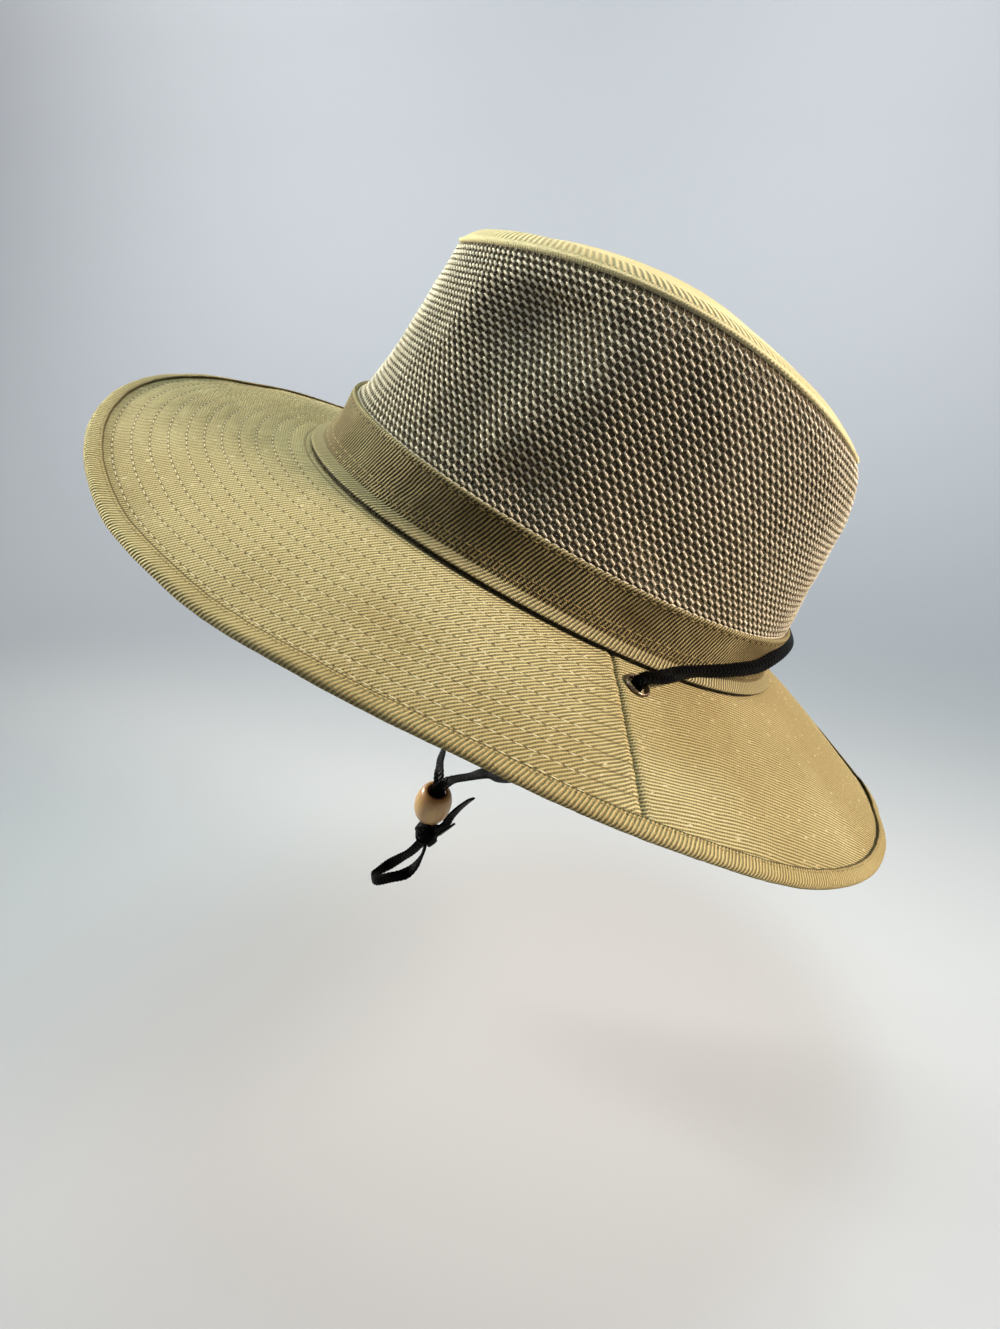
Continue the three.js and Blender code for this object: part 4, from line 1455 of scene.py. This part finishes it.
EYELET_ANGLE = 113
EYELET_OUT = 0.0123
EYELET_RADIUS = 0.0052
EYELET_BORE = 0.0039
EYELET_TOP = 0.0008
EYELET_FLANGE = 0.0006
EYELET_LEDGE = 0.0003
EYELET_METAL = 0.0005
EYELET_ROLL_STEPS = 10
EYELET_STEPS = 48
BRONZE_PATINA = (0.12, 0.08, 0.05)
BRONZE_BRIGHT = (0.42, 0.34, 0.27)


def eyelet_profile():
    """The section of a rolled ring over the cloth, its barrel and the flat ring under it."""
    foot = -BRIM_THICKNESS - GAP
    middle = (EYELET_RADIUS + EYELET_BORE) / 2
    half = (EYELET_RADIUS - EYELET_BORE) / 2
    turns = [k * math.pi / EYELET_ROLL_STEPS for k in range(EYELET_ROLL_STEPS + 1)]
    roll = [(middle + half * math.cos(turn), GAP + EYELET_TOP * math.sin(turn)) for turn in turns]
    under = [
        (EYELET_BORE, foot - EYELET_FLANGE),
        (EYELET_RADIUS - EYELET_LEDGE, foot - EYELET_FLANGE),
        (EYELET_RADIUS, foot),
        (EYELET_BORE + EYELET_METAL, foot),
        (EYELET_BORE + EYELET_METAL, GAP),
    ]
    return under + roll


def bronze_finish():
    """Antique bronze: a dark brown patina that has rubbed off to bright metal on the roll."""
    finish = Finish("antique_bronze", Metallic=1.0)
    rubbed = finish.patches(420.0, 0.35, 0.7, detail=4.0)
    return finish.surface(
        Base_Color=finish.mix(rubbed, BRONZE_PATINA, BRONZE_BRIGHT),
        Roughness=0.42 - rubbed * 0.16,
        Normal=finish.bump(rubbed, 0.00008),
    )


BRONZE = bronze_finish()


def eyelet(side):
    """One eyelet, seated square on the brim: 1 is the left one and -1 the right one."""
    angle = side * math.radians(EYELET_ANGLE)
    seat = brim_point(angle, EYELET_OUT, 0)
    farther = brim_point(angle, EYELET_OUT + 0.0005, 0) - seat
    beside = brim_point(angle + math.radians(0.5), EYELET_OUT, 0) - seat
    bm = turned(eyelet_profile(), EYELET_STEPS)
    where = TILTED @ upright_to(farther.cross(beside), seat)
    bmesh.ops.transform(bm, matrix=where, verts=bm.verts)
    return bm


for name, side in (("eyelet_left", 1), ("eyelet_right", -1)):
    finished(name + "_ring", mesh_of(name + "_ring", eyelet(side)), BRONZE, "eyelet_metal", name)


# The studio: a pale floor well under the hat that curves up behind it, a broad soft light from
# above, a small one toward the back and the front of the hat, and two more on the wall behind it.

FLOOR = -0.23
BACKDROP = -0.5
SWEEP = 0.7
FLOOR_GREY = (0.44, 0.45, 0.47, 1)
ROOM_GREY = (0.85, 0.88, 1, 1)
ROOM_LIGHT = 0.25
HAT_MIDDLE = (0, 0, 0)


def studio_floor():
    bm = bmesh.new()
    bmesh.ops.create_grid(bm, x_segments=60, y_segments=2, size=4)
    for point in bm.verts:
        back = max(0, BACKDROP - point.co.x) / SWEEP
        turn = min(back, math.pi / 2)
        if back > 0:
            point.co.x = BACKDROP - SWEEP * math.sin(turn)
        point.co.z = FLOOR + SWEEP * (1 - math.cos(turn)) + SWEEP * (back - turn)
    return mesh_of("floor", bm)


floor = bpy.data.objects.new("floor", studio_floor())
bpy.context.scene.collection.objects.link(floor)
floor_finish = Finish("pale_floor", Roughness=0.9, Base_Color=FLOOR_GREY)
floor.data.materials.append(floor_finish.material)
for face in floor.data.polygons:
    face.use_smooth = True


def soft_light(name, place, aim, size, spread, power, colour):
    """A round lamp that shines from a place toward another, within a cone of some degrees."""
    lamp = bpy.data.objects.new(name, bpy.data.lights.new(name, "AREA"))
    bpy.context.scene.collection.objects.link(lamp)
    lamp.data.shape = "DISK"
    lamp.data.size = size
    lamp.data.energy = power
    lamp.data.color = colour
    lamp.data.spread = math.radians(spread)
    lamp.location = place
    lamp.rotation_euler = (Vector(aim) - Vector(place)).to_track_quat("-Z", "Y").to_euler()


soft_light("above", (-0.25, 0, 1.3), HAT_MIDDLE, 0.8, 180, 9.5, (0.8, 1, 1))
soft_light("behind", (0.12, 1.25, 0.4), HAT_MIDDLE, 0.5, 45, 2.4, (1, 0.84, 0.72))
soft_light("before", (-0.4, -1.15, 0.5), HAT_MIDDLE, 0.6, 45, 3.6, (1, 0.99, 0.9))
soft_light("wall_left", (-0.5, -0.6, 1), (-1.1, -0.6, 0.35), 0.7, 110, 4.4, (1, 1, 1))
soft_light("wall_right", (-0.5, 0.45, 1), (-1.1, 0.45, 0.35), 0.7, 110, 4.2, (1, 1, 1))

world = bpy.data.worlds.new("pale_room")
world.use_nodes = True
world.node_tree.nodes["Background"].inputs["Color"].default_value = ROOM_GREY
world.node_tree.nodes["Background"].inputs["Strength"].default_value = ROOM_LIGHT
bpy.context.scene.world = world
bpy.context.scene.view_settings.view_transform = "Standard"
